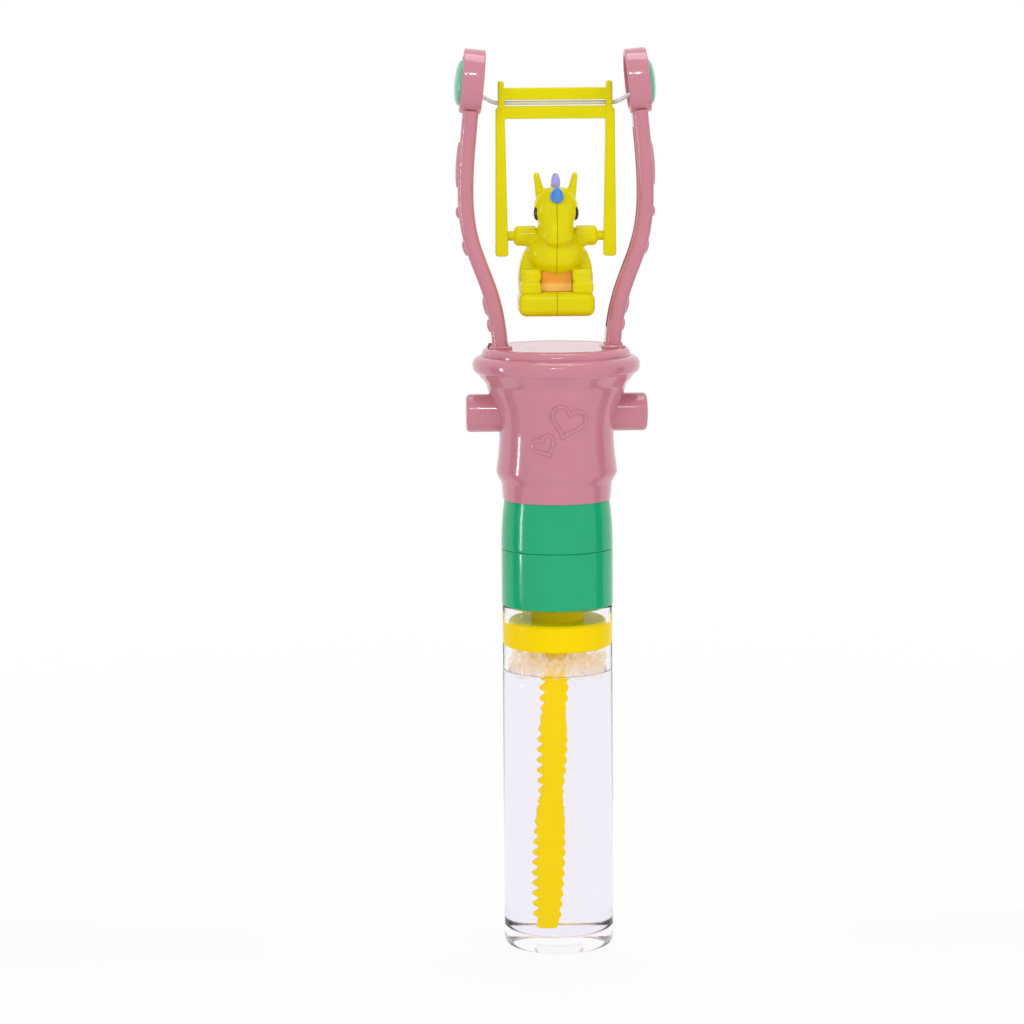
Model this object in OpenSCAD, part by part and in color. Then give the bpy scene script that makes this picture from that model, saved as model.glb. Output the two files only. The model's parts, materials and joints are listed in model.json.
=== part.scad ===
// Bubble wand: a tube of bubble solution, a ribbed wand on a stopper, and a squeeze toy on top.
// Squeezing the two side buttons tips the arms outwards, pulls the string and flips the swing.
// The origin is the centre of the tube's foot, +Z is up and the front faces -Y.

/* [Tube] */
// Outer radius of the tube
tube_r = 16.5; // [14:0.25:19]
// Wall of the tube
tube_wall = 1.5; // [1:0.1:2.2]
// Height of the tube from its foot to its rim
tube_h = 104.5; // [90:0.5:130]
// Thickness of the tube's floor
tube_floor = 4.9; // [4:0.1:7]
// Rounding of the tube's lower edge
tube_edge_r = 3; // [1.5:0.1:4]
// Radius of the dimple under the tube's floor
dimple_r = 6.75; // [4:0.25:9]
// Depth of the dimple under the tube's floor
dimple_depth = 1; // [0.4:0.1:2]

/* [Bubble solution] */
// Drop from the stopper to the solution's surface
level_drop = 9.4; // [6:0.1:40]
// Room in the solution around the wand's stick
stick_room = 1.2; // [0.6:0.1:3]

/* [Wand] */
// Drop from the tube's rim to the stopper's top
plug_drop = 4.2; // [2:0.1:8]
// Height of the stopper
plug_h = 6.4; // [4:0.1:9]
// Bevel of the stopper's edges
plug_bevel = 0.6; // [0.2:0.1:1.2]
// Radius of the post above the stopper
post_r = 8; // [5:0.25:10]
// Length of the post inside the collar's hub
post_seat = 8; // [4:0.5:11]
// Width of the stick over its teeth
stick_w = 5.7; // [4:0.1:8]
// Thickness of the stick
stick_t = 2.6; // [1.6:0.1:4]
// Depth of each tooth of the stick
tooth_depth = 1.3; // [0.6:0.1:1.6]
// Pitch of the teeth
tooth_pitch = 3; // [2:0.1:5]
// Gap between the stick's tip and the tube's floor
tip_gap = 2.1; // [1:0.1:10]

/* [Collar] */
// Step of the collar beyond the tube's wall
collar_step = 0.25; // [0.1:0.05:1]
// Height of the collar
collar_h = 17.2; // [14:0.1:24]
// Wall of the collar
collar_wall = 2; // [1.4:0.1:3]
// Thickness of the collar's floor
collar_floor = 2.2; // [1.4:0.1:4]
// Rounding of the collar's outer edges
collar_edge_r = 0.7; // [0.3:0.1:1.2]
// Wall of the hub that takes the wand's post
hub_wall = 1.8; // [1:0.1:2.5]

/* [Neck] */
// Height of the neck
neck_h = 14.8; // [10:0.1:22]
// How much narrower the neck is at its top
neck_taper = 0.95; // [0.3:0.05:2]
// Wall of the neck
neck_wall = 2; // [1.4:0.1:3]
// Length of the neck's lower spigot
spigot_h = 5; // [3:0.5:6]
// Height of the housing's foot around the neck's upper spigot
clamp_h = 3.6; // [2:0.1:4]
// Height of the lip on the upper spigot
lip_h = 1.6; // [1:0.1:1.9]
// How far the lip stands out
lip_step = 0.8; // [0.4:0.1:1.2]

/* [Housing] */
// Step of the housing's skirt beyond the neck
skirt_step = 0.35; // [0.1:0.05:1]
// Height of the skirt
skirt_h = 5.6; // [5.5:0.1:7]
// How far the skirt widens
skirt_flare = 0.5; // [0:0.05:1]
// Rise from the skirt to the bead's crown
bead_rise = 3.7; // [2.4:0.1:4.4]
// How far the bead stands out
bead_step = 1.5; // [0.5:0.1:3]
// Rise from the bead's crown to the waist
waist_rise = 9.7; // [7.7:0.1:12]
// Rise from the waist to where the flare meets the flange
flare_rise = 15.6; // [14:0.1:18]
// How far the flare widens above the waist
flare_step = 3.8; // [3.4:0.1:6]
// Rise from the flare to the flange's widest line
flange_rise = 6.1; // [5.4:0.1:8]
// How far the flange stands out beyond the flare
flange_step = 4.15; // [3.5:0.05:6]
// Rise from the flange to the housing's top edge
brim_rise = 3.6; // [3.2:0.1:5]
// Wall of the housing
shell_wall = 1.8; // [1.4:0.1:2.2]
// Width of the housing's top edge around the cover
brim_w = 3.3; // [2.6:0.1:4]
// Depth of the cover's seat below the top edge
cover_sink = 2.4; // [1.6:0.1:2.6]
// Width of the ledge under the cover
ledge_w = 1.4; // [0.8:0.1:2]
// Thickness of the ledge under the cover
ledge_h = 1.2; // [0.8:0.1:1.6]

/* [Top cover] */
// Height of the cover's raised plate above its rim
plate_h = 1.5; // [0.8:0.1:2.5]
// Width of the cover's rim around the raised plate
plate_step = 1.7; // [1:0.1:2.2]
// Room beside the arm in its slot
slot_room = 0.35; // [0.3:0.05:0.6]
// Extra room on the slot's outer side, where the arm tips
slot_tip_room = 1.3; // [0.9:0.1:1.6]

/* [Shell screws] */
// Radius of the screws' shanks
screw_r = 1.1; // [0.8:0.05:1.4]
// Radius of the screws' heads
screw_head_r = 2; // [1.6:0.05:2.2]
// Thickness of the screws' heads
screw_head_h = 1.5; // [1:0.1:2]
// Depth of the heads' seats behind the middle plane
screw_seat = 6.5; // [4:0.1:8]
// Reach of the shanks in front of the middle plane
screw_reach = 7.5; // [5:0.1:8]
// Wall of the screw bosses
screw_wall = 1; // [0.7:0.1:1.3]
// Distance of the lower screws from the middle
screw_side = 9; // [7:0.1:10]
// Height of the lower screws above the housing's foot
screw_low_h = 11.6; // [11:0.1:12]
// Height of the upper screw above the housing's foot
screw_high_h = 33; // [32:0.1:34]

/* [Buttons] */
// Radius of the push buttons
button_r = 5.7; // [4.5:0.1:6]
// How far the buttons stand out beyond the housing's waist
button_out = 9.95; // [7:0.05:14]
// Drop from the arms' pivots to the buttons' axis
button_drop = 12.25; // [11.5:0.05:13.5]
// Rounding of the buttons' ends
button_edge_r = 1.3; // [0.4:0.1:2]
// Width of the button's retaining flange
button_flange_w = 1.2; // [0.8:0.1:1.5]
// Thickness of the button's retaining flange
button_flange_t = 1.5; // [1:0.1:2]
// Wall of the sleeves that guide the buttons
sleeve_wall = 1.5; // [1:0.1:1.7]
// How far the sleeves reach into the housing from the waist's line
sleeve_in = 2.8; // [2.6:0.1:3.2]

/* [Arms] */
// Thickness of the arms, seen from the front
arm_t = 4.7; // [3.6:0.1:5.4]
// Depth of the arms, front to back
arm_d = 10.5; // [8:0.1:12]
// Wall of the arms' channel
arm_wall = 1.3; // [0.9:0.1:1.6]
// Distance of the pivots from the flange's widest line
pivot_inset = 8.55; // [8:0.05:9.5]
// Rise of the arms' widest point above their pivots
belly_rise = 53.2; // [46:0.1:60]
// How far out the arms' widest point lies from their pivots
belly_out = 10.2; // [8:0.1:13]
// Rise of the heads' centres above the pivots
head_rise = 86.4; // [80:0.1:94]
// How far out the heads' centres lie from the pivots
head_out = 7.95; // [6:0.05:10]
// Radius of the pivot pins
pin_r = 1.25; // [1:0.05:1.5]
// Length of each pin's end in the housing
pin_seat = 5; // [3:0.5:6]
// Wall around the pins
pivot_wall = 2.1; // [1.5:0.1:2.3]
// How far an arm tips outwards, in degrees
arm_swing = 3.5; // [1.5:0.5:4]
// Thickness of the arms' tails
tail_t = 2.6; // [2:0.1:3.2]
// Depth of the arms' tails, front to back
tail_d = 8; // [6:0.1:10]
// How far the tails reach below the buttons' flanges
tail_below = 1.6; // [1:0.1:1.8]

/* [Return spring] */
// Radius of the spring's coil, to the middle of its wire
spring_r = 2.2; // [2:0.1:2.8]
// Diameter of the spring's wire
spring_wire = 0.5; // [0.4:0.05:0.6]
// Number of turns
spring_turns = 8; // [5:1:10]
// Height of the spring above the flanges' lower edge
spring_rise = 3.2; // [2.6:0.1:4]
// Length of the studs that hold the spring's ends
stud_h = 1.2; // [0.8:0.1:2]
// Radius of the studs
stud_r = 1.5; // [1:0.1:1.6]

/* [Heads] */
// Radius of the round heads
head_r = 9.6; // [8.5:0.1:11]
// Thickness of the heads
head_t = 6.5; // [6:0.1:8]
// Lean of the heads towards the middle, in degrees
head_tilt = 5.5; // [0:0.5:9]
// Wall around the heads' hollows
head_wall = 1.6; // [1.1:0.1:2.2]
// Thickness of the heads' webs
web_t = 2.3; // [2:0.1:2.8]
// Radius of the green caps
cap_r = 6.8; // [5.8:0.1:7.6]
// Height of the green caps above the heads
cap_h = 2; // [1.9:0.1:3.4]
// Wall of the green caps
cap_wall = 0.8; // [0.6:0.1:1]
// Depth of the caps' seats in the heads
cap_sink = 0.6; // [0.4:0.1:0.8]
// How far the caps sit below the heads' centres
cap_drop = 0.7; // [0:0.1:1]

/* [String] */
// Diameter of the string
string_d = 1.3; // [1:0.05:1.4]
// Radius of the knots
knot_r = 1.4; // [1.1:0.05:1.5]
// Depth of the knots' pockets in the webs
knot_sink = 1.3; // [1:0.1:1.4]
// How far the string leaves the heads below their centres
string_drop = 3; // [2:0.1:3.4]
// How far the swing's line hangs below the heads' centres
swing_drop = 6.4; // [5:0.1:8]

/* [Swing] */
// Gap between the heads' inner faces and the frame's upper corners
swing_gap = 3.6; // [2.5:0.1:6]
// How much wider the frame is at its lower ends
swing_spread = 0.3; // [0:0.1:1.2]
// Width of the side bars at the top
bar_top_w = 3; // [2.6:0.1:4]
// Width of the side bars at the lower ends
bar_low_w = 3.8; // [3.4:0.1:5]
// Rounding of the side bars' corners
bar_edge_r = 0.8; // [0.3:0.1:1.2]
// Depth of the frame, front to back
swing_d = 4.6; // [3.6:0.1:6]
// Rise of the bars' tips above the string
bar_tip_rise = 6.5; // [5:0.1:9]
// Gap between the crossbars, where the string runs
cross_gap = 1.8; // [1.6:0.1:2.4]
// Height of the upper crossbar
cross_high_h = 3.6; // [2:0.1:4]
// Height of the lower crossbar
cross_low_h = 3.8; // [2:0.1:5]
// Distance from the string down to the pegs
peg_drop = 39.4; // [36:0.1:46]
// Length of the bars below the pegs
bar_below = 6; // [4.5:0.1:8]

/* [Figure] */
// Radius of the pegs on the figure's hands
peg_r = 1.45; // [1:0.05:1.6]
// Radius of the hands
hand_r = 3; // [2.6:0.1:3.8]
// Gap between the hands and the side bars
hand_gap = 1.7; // [0.5:0.1:2.5]
// Radius of the head
skull_r = 6.8; // [6:0.1:7.4]
// Height of the head's centre above the pegs
skull_h = 8.2; // [7:0.1:9]
// How far the head's centre lies in front of the pegs
skull_fore = 2.2; // [1:0.1:4]
// Radius of the muzzle
muzzle_r = 4.2; // [3.4:0.1:5]
// Height of the muzzle's centre above the pegs
muzzle_h = 1.4; // [0.5:0.1:3]
// How far the muzzle's centre lies in front of the pegs
muzzle_fore = 7; // [5:0.1:9]
// Radius of the chest
chest_r = 7.8; // [6.5:0.1:8.4]
// Drop from the pegs to the chest's centre
chest_drop = 6.2; // [5:0.1:8]
// Radius of the neck
throat_r = 5; // [4:0.1:5.6]
// Radius of the thighs
thigh_r = 3.6; // [3:0.1:4]
// Distance of the thighs from the middle
thigh_side = 7.6; // [7:0.1:8]
// Drop from the pegs to the hips
hip_drop = 8.6; // [7:0.1:10]
// Drop from the pegs to the knees
knee_drop = 13.2; // [12:0.1:14]
// How far the knees lie in front of the pegs
knee_fore = 4.6; // [3:0.1:6]
// Half the width of the haunches
haunch_half = 11.1; // [10:0.1:11.5]
// Half the width of the body at the shoulders
shoulder_half = 7.6; // [6.5:0.1:8.4]
// Drop from the pegs to the body's shoulders
shoulder_drop = 2; // [1.2:0.1:2.6]
// Half the width of the seat under the figure
seat_half = 11.3; // [10:0.1:11.5]
// Height of the seat
seat_h = 7.2; // [6:0.1:8]
// Drop from the pegs to the seat's top
seat_drop = 16.4; // [16:0.1:17]
// How far the seat reaches in front of the pegs
seat_fore = 8; // [7:0.1:10]
// How far the seat reaches behind the pegs
seat_back = 7.5; // [4:0.1:9]
// Rounding of the seat's upper edges
seat_edge_r = 2.4; // [1:0.1:3]
// Half the width of the window between the legs
window_half = 4.5; // [3:0.1:5]
// Height of the window between the legs
window_h = 5.6; // [3:0.1:6.5]
// How far the window's floor lies in front of the pegs
window_fore = 2.4; // [1:0.1:4]
// Distance of the ears from the middle
ear_side = 4.5; // [4:0.1:5.4]
// Radius of the ears' roots
ear_r = 1.6; // [1:0.1:1.8]
// How far the ears lean out at their tips
ear_lean = 1.3; // [0:0.1:2]
// Height of the ears' tips above the pegs
ear_top = 18.6; // [16:0.1:21]
// Radius of the tail
tail_r = 2.6; // [2:0.1:3.2]
// How far the tail's tip lies behind the pegs
tail_back = 11; // [9:0.1:13]
// Radius of the horn
horn_r = 2.1; // [1.5:0.1:2.4]
// Length of the horn from the head's centre
horn_reach = 11.6; // [10.5:0.1:14]
// Slope of the horn above the horizon, in degrees
horn_slope = 38; // [30:1:44]
// Half the thickness of the crest
crest_half = 1.35; // [0.9:0.05:1.8]
// Reach of the crest from the head's centre
crest_reach = 11.2; // [10:0.1:12.5]

/* [Fits] */
// Gap between the tube's rim and the collar
rim_gap = 0.1; // [0.05:0.05:0.3]
// Gap between the stopper and the tube's bore
plug_gap = 0.06; // [0.02:0.02:0.1]
// Gap between pieces that are fixed to each other
seat_gap = 0.02; // [0.01:0.01:0.04]
// Gap of the pins, pegs and string in the bores that turn on them
run_gap = 0.06; // [0.03:0.01:0.1]
// Gap around the sliding buttons
slide_gap = 0.1; // [0.05:0.05:0.2]
// Gap between a button's flange and the tail that it pushes
touch_gap = 0.15; // [0.1:0.05:0.3]
// Gap beside the turning arms, inside the housing
side_gap = 0.3; // [0.2:0.05:0.5]

/* [Hidden] */
$fn = 48;

// Sides, signs and finishes
LEFT = -1;
RIGHT = 1;
FRONT = -1;
BACK = 1;
clear_tint = [0.90, 0.90, 0.95, 0.35];
liquid_tint = [0.86, 0.86, 0.93, 0.45];
pink = [0.85, 0.50, 0.57];
green = [0.24, 0.73, 0.51];
lemon = [0.90, 0.86, 0.10];
yellow = [0.99, 0.86, 0.05];
blue = [0.25, 0.55, 0.98];
lavender = [0.70, 0.65, 0.95];
steel = [0.72, 0.73, 0.75];
thread = [0.96, 0.96, 0.95];

// How far a cut runs past the surface that it opens
overrun = 1;

// Points on each quarter of an edge, on each curve and on each ring of the string
EDGE_STEPS = 5;
CURVE_STEPS = 10;
CORD_SIDES = 8;
WIRE_SIDES = 6;
TURN_STEPS = 12;

// Tube and solution
bore_r = tube_r - tube_wall;
bore_edge_r = tube_edge_r - tube_wall / 2;
tip_z = tube_floor + tip_gap;
stick_room_r = norm([stick_w, stick_t]) / 2 + stick_room;

// Heights of the stack
collar_z = tube_h + rim_gap;
neck_z = collar_z + collar_h;
housing_z = neck_z + neck_h;
housing_h = skirt_h + bead_rise + waist_rise + flare_rise + flange_rise + brim_rise;
housing_top = housing_z + housing_h;
cover_z = housing_top - cover_sink;
cover_top = housing_top + plate_h;
plug_top = tube_h - plug_drop;
post_top = collar_z + post_seat;

// Radii of the stack
collar_r = tube_r + collar_step;
neck_low_r = collar_r;
neck_top_r = neck_low_r - neck_taper;
skirt_r = neck_top_r + skirt_step;
bead_r = skirt_r + bead_step + skirt_flare;
waist_r = skirt_r + skirt_flare * 2;
flare_r = waist_r + flare_step;
flange_r = flare_r + flange_step;
cover_r = flange_r - brim_w;
ledge_r = cover_r - ledge_w;
spigot_r = skirt_r - shell_wall - lip_step;
lip_r = spigot_r + lip_step;

// Places of the mechanism
pivot_x = flange_r - pivot_inset;
pivot_r = pin_r + pivot_wall;
pivot_z = cover_z - pivot_r - side_gap;
button_z = pivot_z - button_drop;
button_end = waist_r + button_out;
button_flange_r = button_r + button_flange_w;
sleeve_x = waist_r - sleeve_in;
button_face = sleeve_x - slide_gap - button_flange_t;
touch_z = button_z - button_flange_r;
lever = pivot_z - touch_z;
button_travel = lever * tan(arm_swing);
spring_z = touch_z + spring_rise;
tail_low_z = touch_z - tail_below;

// Places of the heads, the string and the swing
head_x = pivot_x + head_out;
head_z = pivot_z + head_rise;
string_r = string_d / 2;
swing_z = head_z - swing_drop;
swing_half = head_x - head_t / 2 - swing_gap;
peg_z = swing_z - peg_drop;
low_half = swing_half + swing_spread;
bar_low_z = peg_z - bar_below;
bar_tip_z = swing_z + bar_tip_rise;

// Shares of the housing's curves
bead_handle_share = 0.45;
waist_handle_share = 0.40;
flange_handle_share = 0.40;

// Shares of the arm's curve: handle lengths over the rises that they follow
root_handle_share = 0.575;
belly_low_handle_share = 0.434;
belly_high_handle_share = 0.36;
head_handle_share = 0.36;
head_lean_share = 0.24;
channel_start_share = 0.32;
channel_end_share = 0.80;

// Cubic curve through two ends with two handles, as points
function bezier(p, n) = [
    for (i = [0:n])
        let (t = i / n, s = 1 - t)
            s * s * s * p[0] + 3 * s * s * t * p[1] + 3 * s * t * t * p[2] + t * t * t * p[3]
];

// Points of an arc about a centre
function arc(c, r, from, to, n = EDGE_STEPS) = [
    for (i = [0:n]) c + r * [cos(from + (to - from) * i / n), sin(from + (to - from) * i / n)]
];

// List without its first point
function rest(points) = [for (i = [1:len(points) - 1]) points[i]];

function unit(v) = v / norm(v);

// Direction of a path at one of its points
function heading(path, i) = unit(path[min(i + 1, len(path) - 1)] - path[max(i - 1, 0)]);

// Path in a plane, moved sideways
function beside(path, d) = [
    for (i = [0:len(path) - 1]) let (h = heading(path, i)) path[i] + d * [h[1], -h[0]]
];

function reversed(points) = [for (i = [len(points) - 1:-1:0]) points[i]];

// Solid of revolution about Z
module turned(outline) {
    rotate_extrude() polygon(outline);
}

// Solid of revolution about X, with its outline's second value along X
module turned_x(outline) {
    rotate([0, 90, 0]) turned(outline);
}

// Round bar along X between two places
module bar_x(r, from, to) {
    translate([from, 0, 0]) rotate([0, 90, 0]) cylinder(r = r, h = to - from);
}

// Round bar along Y between two places
module bar_y(r, from, to) {
    translate([0, from, 0]) rotate([-90, 0, 0]) cylinder(r = r, h = to - from);
}

// Plate in the XZ plane, centred on the middle plane
module plate_xz(outline, d) {
    rotate([90, 0, 0]) linear_extrude(height = d, center = true) polygon(outline);
}

// Round bar with round ends between two points
module rod(a, b, r) {
    v = b - a;
    length = norm(v);
    outline = concat(arc([0, 0], r, -90, 0), arc([0, length], r, 0, 90));
    translate(a) rotate([0, acos(v[2] / length), atan2(v[1], v[0])]) turned(outline);
}

module on_side(side) {
    mirror([side == LEFT ? 1 : 0, 0, 0]) children();
}

// Tube swept along points, with a first side direction for each ring
module swept(points, sideways, r, sides) {
    rings = len(points);
    corners = [
        for (i = [0:rings - 1])
            let (u = unit(sideways[i]), v = unit(cross(heading(points, i), u)))
                for (k = [0:sides - 1])
                    points[i] + r * (cos(360 * k / sides) * u + sin(360 * k / sides) * v)
    ];
    skin = [
        for (i = [0:rings - 2])
            for (k = [0:sides - 1])
                let (a = i * sides + k, b = i * sides + (k + 1) % sides)
                    each [[a, b, b + sides], [a, b + sides, a + sides]]
    ];
    first_end = [for (k = [1:sides - 2]) [0, k + 1, k]];
    last = (rings - 1) * sides;
    last_end = [for (k = [1:sides - 2]) [last, last + k, last + k + 1]];
    polyhedron(points = corners, faces = [for (f = concat(skin, first_end, last_end)) reversed(f)]);
}

// Tube with a rounded foot, a dimple under it and a round bore
module tube() {
    outside = concat(
        [[0, 0]],
        arc([tube_r - tube_edge_r, tube_edge_r], tube_edge_r, -90, 0),
        [[tube_r, tube_h], [0, tube_h]]
    );
    color(clear_tint)
        difference() {
            turned(outside);
            turned(bore_outline(bore_r, tube_floor, tube_h + overrun));
            translate([0, 0, -overrun]) cylinder(r = dimple_r, h = dimple_depth + overrun);
        }
}

function bore_outline(r, floor_z, top_z) = concat(
    [[0, floor_z]],
    arc([r - bore_edge_r, floor_z + bore_edge_r], bore_edge_r, -90, 0),
    [[r, top_z], [0, top_z]]
);

// Solution that fills the tube up to its level, around the wand's stick
module bubble_solution() {
    level_z = stick_top - level_drop;
    color(liquid_tint)
        difference() {
            turned(bore_outline(bore_r - seat_gap, tube_floor + seat_gap, level_z));
            translate([0, 0, tip_z - stick_room]) cylinder(r = stick_room_r, h = level_z);
        }
}

// One edge of the stick: flat-topped teeth at a steady pitch
stick_top = plug_top - plug_h;
stick_teeth = floor((stick_top - tip_z) / tooth_pitch);
tooth_flat_share = 0.30;
tooth_slope_share = 0.20;
stick_edge = [
    for (i = [0:stick_teeth - 1])
        let (z = tip_z + i * tooth_pitch)
            each [
                [stick_w / 2, z],
                [stick_w / 2, z + tooth_flat_share * tooth_pitch],
                [stick_w / 2 - tooth_depth, z + (tooth_flat_share + tooth_slope_share) * tooth_pitch],
                [stick_w / 2 - tooth_depth, z + (1 - tooth_slope_share) * tooth_pitch]
            ]
];

// Ribbed stick, stopper and post in one moulding
module wand() {
    plug_r = bore_r - plug_gap;
    root = [[stick_w / 2, stick_top - overrun], [stick_w / 2, stick_top + plug_bevel]];
    edge = concat([for (p = stick_edge) if (p[1] < stick_top - tooth_pitch) p], root);
    other_edge = [for (p = reversed(edge)) [-p[0], p[1]]];
    color(yellow)
        union() {
            turned([
                [0, stick_top], [plug_r - plug_bevel, stick_top], [plug_r, stick_top + plug_bevel],
                [plug_r, plug_top - plug_bevel], [plug_r - plug_bevel, plug_top], [post_r, plug_top],
                [post_r, post_top], [0, post_top]
            ]);
            plate_xz(concat(edge, other_edge), stick_t);
        }
}

// Collar that seats on the tube's rim and holds the wand's post in its hub
module collar() {
    top_z = neck_z - seat_gap;
    inner_r = collar_r - collar_wall;
    outside = concat(
        [[0, collar_z]],
        arc([collar_r - collar_edge_r, collar_z + collar_edge_r], collar_edge_r, -90, 0),
        arc([collar_r - collar_edge_r, top_z - collar_edge_r], collar_edge_r, 0, 90),
        [[0, top_z]]
    );
    hub_top = post_top;
    floor_top = collar_z + collar_floor;
    color(green)
        difference() {
            turned(outside);
            turned([
                [post_r + hub_wall, floor_top], [inner_r, floor_top], [inner_r, top_z + overrun],
                [0, top_z + overrun], [0, hub_top], [post_r + hub_wall, hub_top]
            ]);
            translate([0, 0, collar_z - overrun])
                cylinder(r = post_r + seat_gap, h = hub_top - collar_z + 2 * overrun);
        }
}

// Tapered neck: a spigot below for the collar, and a lipped spigot above for the housing
module neck() {
    low_r = collar_r - collar_wall - seat_gap;
    top_z = housing_z - seat_gap;
    lip_z = housing_z + clamp_h + seat_gap;
    bore = spigot_r - seat_gap - neck_wall;
    swell = neck_taper / 2;
    side = bezier([
        [neck_low_r, neck_z + collar_edge_r], [neck_low_r, neck_z + neck_h / 2],
        [neck_top_r + swell, top_z - neck_h / 4], [neck_top_r, top_z]
    ], CURVE_STEPS);
    color(green)
        turned(concat(
            [[bore, neck_z - spigot_h], [low_r, neck_z - spigot_h], [low_r, neck_z]],
            arc([neck_low_r - collar_edge_r, neck_z + collar_edge_r], collar_edge_r, -90, 0),
            rest(side),
            [
                [spigot_r - seat_gap, top_z], [spigot_r - seat_gap, lip_z], [lip_r - seat_gap, lip_z],
                [lip_r - seat_gap, lip_z + lip_h], [bore, lip_z + lip_h]
            ]
        ));
}

// Outer side of the housing, from its foot to its top edge
function handle(h, share) = [0, h * share];

skirt_end = [skirt_r + skirt_flare, housing_z + skirt_h];
bead_crown = [bead_r, skirt_end[1] + bead_rise];
waist = [waist_r, bead_crown[1] + waist_rise];
flare_end = [flare_r, waist[1] + flare_rise];
flange_crown = [flange_r, flare_end[1] + flange_rise];
brim = [cover_r + seat_gap, housing_top];
housing_side = concat(
    [[skirt_r, housing_z]],
    bezier([skirt_end, skirt_end + handle(bead_rise, bead_handle_share),
            bead_crown - handle(bead_rise, bead_handle_share), bead_crown], CURVE_STEPS),
    rest(bezier([bead_crown, bead_crown + handle(waist_rise, waist_handle_share),
                 waist - handle(waist_rise, waist_handle_share), waist], CURVE_STEPS)),
    rest(bezier([waist, waist + handle(flare_rise, waist_handle_share),
                 flare_end - [flare_step, flare_rise] * waist_handle_share, flare_end], CURVE_STEPS)),
    rest(bezier([flare_end, flare_end + [flange_step, flange_rise] * flange_handle_share,
                 flange_crown - handle(flange_rise, flange_handle_share), flange_crown], CURVE_STEPS)),
    rest(bezier([flange_crown, flange_crown + handle(brim_rise, 1 - flange_handle_share),
                 brim + [brim_w * flange_handle_share, 0], brim], CURVE_STEPS))
);

// Hollow of the housing: the neck's spigot and lip, the wide room and the cover's seat
lip_top = housing_z + clamp_h + lip_h + 2 * seat_gap;
ledge_z = cover_z - seat_gap;
housing_hollow = concat(
    [
        [0, housing_z - overrun], [spigot_r, housing_z - overrun], [spigot_r, housing_z + clamp_h],
        [lip_r, housing_z + clamp_h], [lip_r, lip_top]
    ],
    [
        for (p = housing_side)
            if (p[1] > lip_top && p[1] < ledge_z - ledge_h) [p[0] - shell_wall, p[1]]
    ],
    [
        [ledge_r, ledge_z - ledge_h], [ledge_r, ledge_z], [cover_r + seat_gap, ledge_z],
        [cover_r + seat_gap, housing_top + overrun], [0, housing_top + overrun]
    ]
);
screw_places = [
    [-screw_side, housing_z + screw_low_h], [screw_side, housing_z + screw_low_h],
    [0, housing_z + screw_high_h]
];
screw_boss_r = screw_head_r + screw_wall;
pin_reach = arm_d / 2 + side_gap + pin_seat;

// Bosses and sleeves inside the housing, kept within its outer side
module housing_fittings() {
    intersection() {
        turned(concat([[0, housing_z]], housing_side, [[0, housing_top]]));
        union() {
            for (side = [LEFT, RIGHT])
                on_side(side) {
                    translate([0, 0, button_z])
                        bar_x(button_r + slide_gap + sleeve_wall, sleeve_x, flange_r);
                    translate([pivot_x, 0, pivot_z]) {
                        bar_y(pivot_r, arm_d / 2 + side_gap, flange_r);
                        bar_y(pivot_r, -flange_r, -arm_d / 2 - side_gap);
                    }
                }
            for (place = screw_places)
                translate([place[0], 0, place[1]]) bar_y(screw_boss_r, -flange_r, flange_r);
        }
    }
}

// Holes in the housing for the buttons, the pivot pins and the screws
module housing_holes() {
    for (side = [LEFT, RIGHT])
        on_side(side) {
            translate([0, 0, button_z]) bar_x(button_r + slide_gap, sleeve_x - overrun, flange_r);
            translate([pivot_x, 0, pivot_z])
                bar_y(pin_r + seat_gap, -pin_reach - seat_gap, pin_reach + seat_gap);
        }
    for (place = screw_places)
        translate([place[0], 0, place[1]]) {
            bar_y(screw_r + seat_gap, -screw_reach - seat_gap, screw_seat + overrun);
            bar_y(screw_head_r + seat_gap, screw_seat - seat_gap, flange_r);
        }
}

// One half of the housing, cut at the middle plane
module shell_half(face) {
    difference() {
        intersection() {
            union() {
                difference() {
                    turned(concat([[0, housing_z]], housing_side, [[0, housing_top]]));
                    turned(housing_hollow);
                }
                housing_fittings();
            }
            translate([0, face * (flange_r + overrun + seat_gap / 2), housing_z + housing_h / 2])
                cube([2 * (flange_r + overrun), 2 * (flange_r + overrun), housing_h + overrun],
                     center = true);
        }
        housing_holes();
    }
}

module front_shell() {
    color(pink) shell_half(FRONT);
}

module back_shell() {
    color(pink) shell_half(BACK);
}

// Round cover with a raised plate and a slot for each arm
slot_in = pivot_x - arm_t / 2 - slot_room;
slot_out = pivot_x + arm_t / 2 + slot_room + slot_tip_room;
slot_half_d = arm_d / 2 + side_gap;

module top_cover() {
    plate_r = cover_r - plate_step;
    step = min(plate_h, plate_step) / 2;
    outline = concat(
        [[0, cover_z], [cover_r, cover_z]],
        arc([cover_r - step, housing_top - step], step, 0, 90),
        arc([plate_r - step, cover_top - step], step, 0, 90),
        [[0, cover_top]]
    );
    color(pink)
        difference() {
            turned(outline);
            for (side = [LEFT, RIGHT])
                on_side(side)
                    translate([slot_in, -slot_half_d, cover_z - overrun])
                        cube([slot_out - slot_in, 2 * slot_half_d, cover_top - cover_z + 2 * overrun]);
        }
}

// Self-tapping screws, heads at the back
module shell_screws() {
    color(steel)
        for (place = screw_places)
            translate([place[0], 0, place[1]]) {
                bar_y(screw_r, -screw_reach, screw_seat);
                bar_y(screw_head_r, screw_seat, screw_seat + screw_head_h);
            }
}

module pivot_pin(side) {
    color(steel)
        on_side(side) translate([pivot_x, 0, pivot_z]) bar_y(pin_r, -pin_reach, pin_reach);
}

module left_pivot_pin() {
    pivot_pin(LEFT);
}

module right_pivot_pin() {
    pivot_pin(RIGHT);
}

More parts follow.
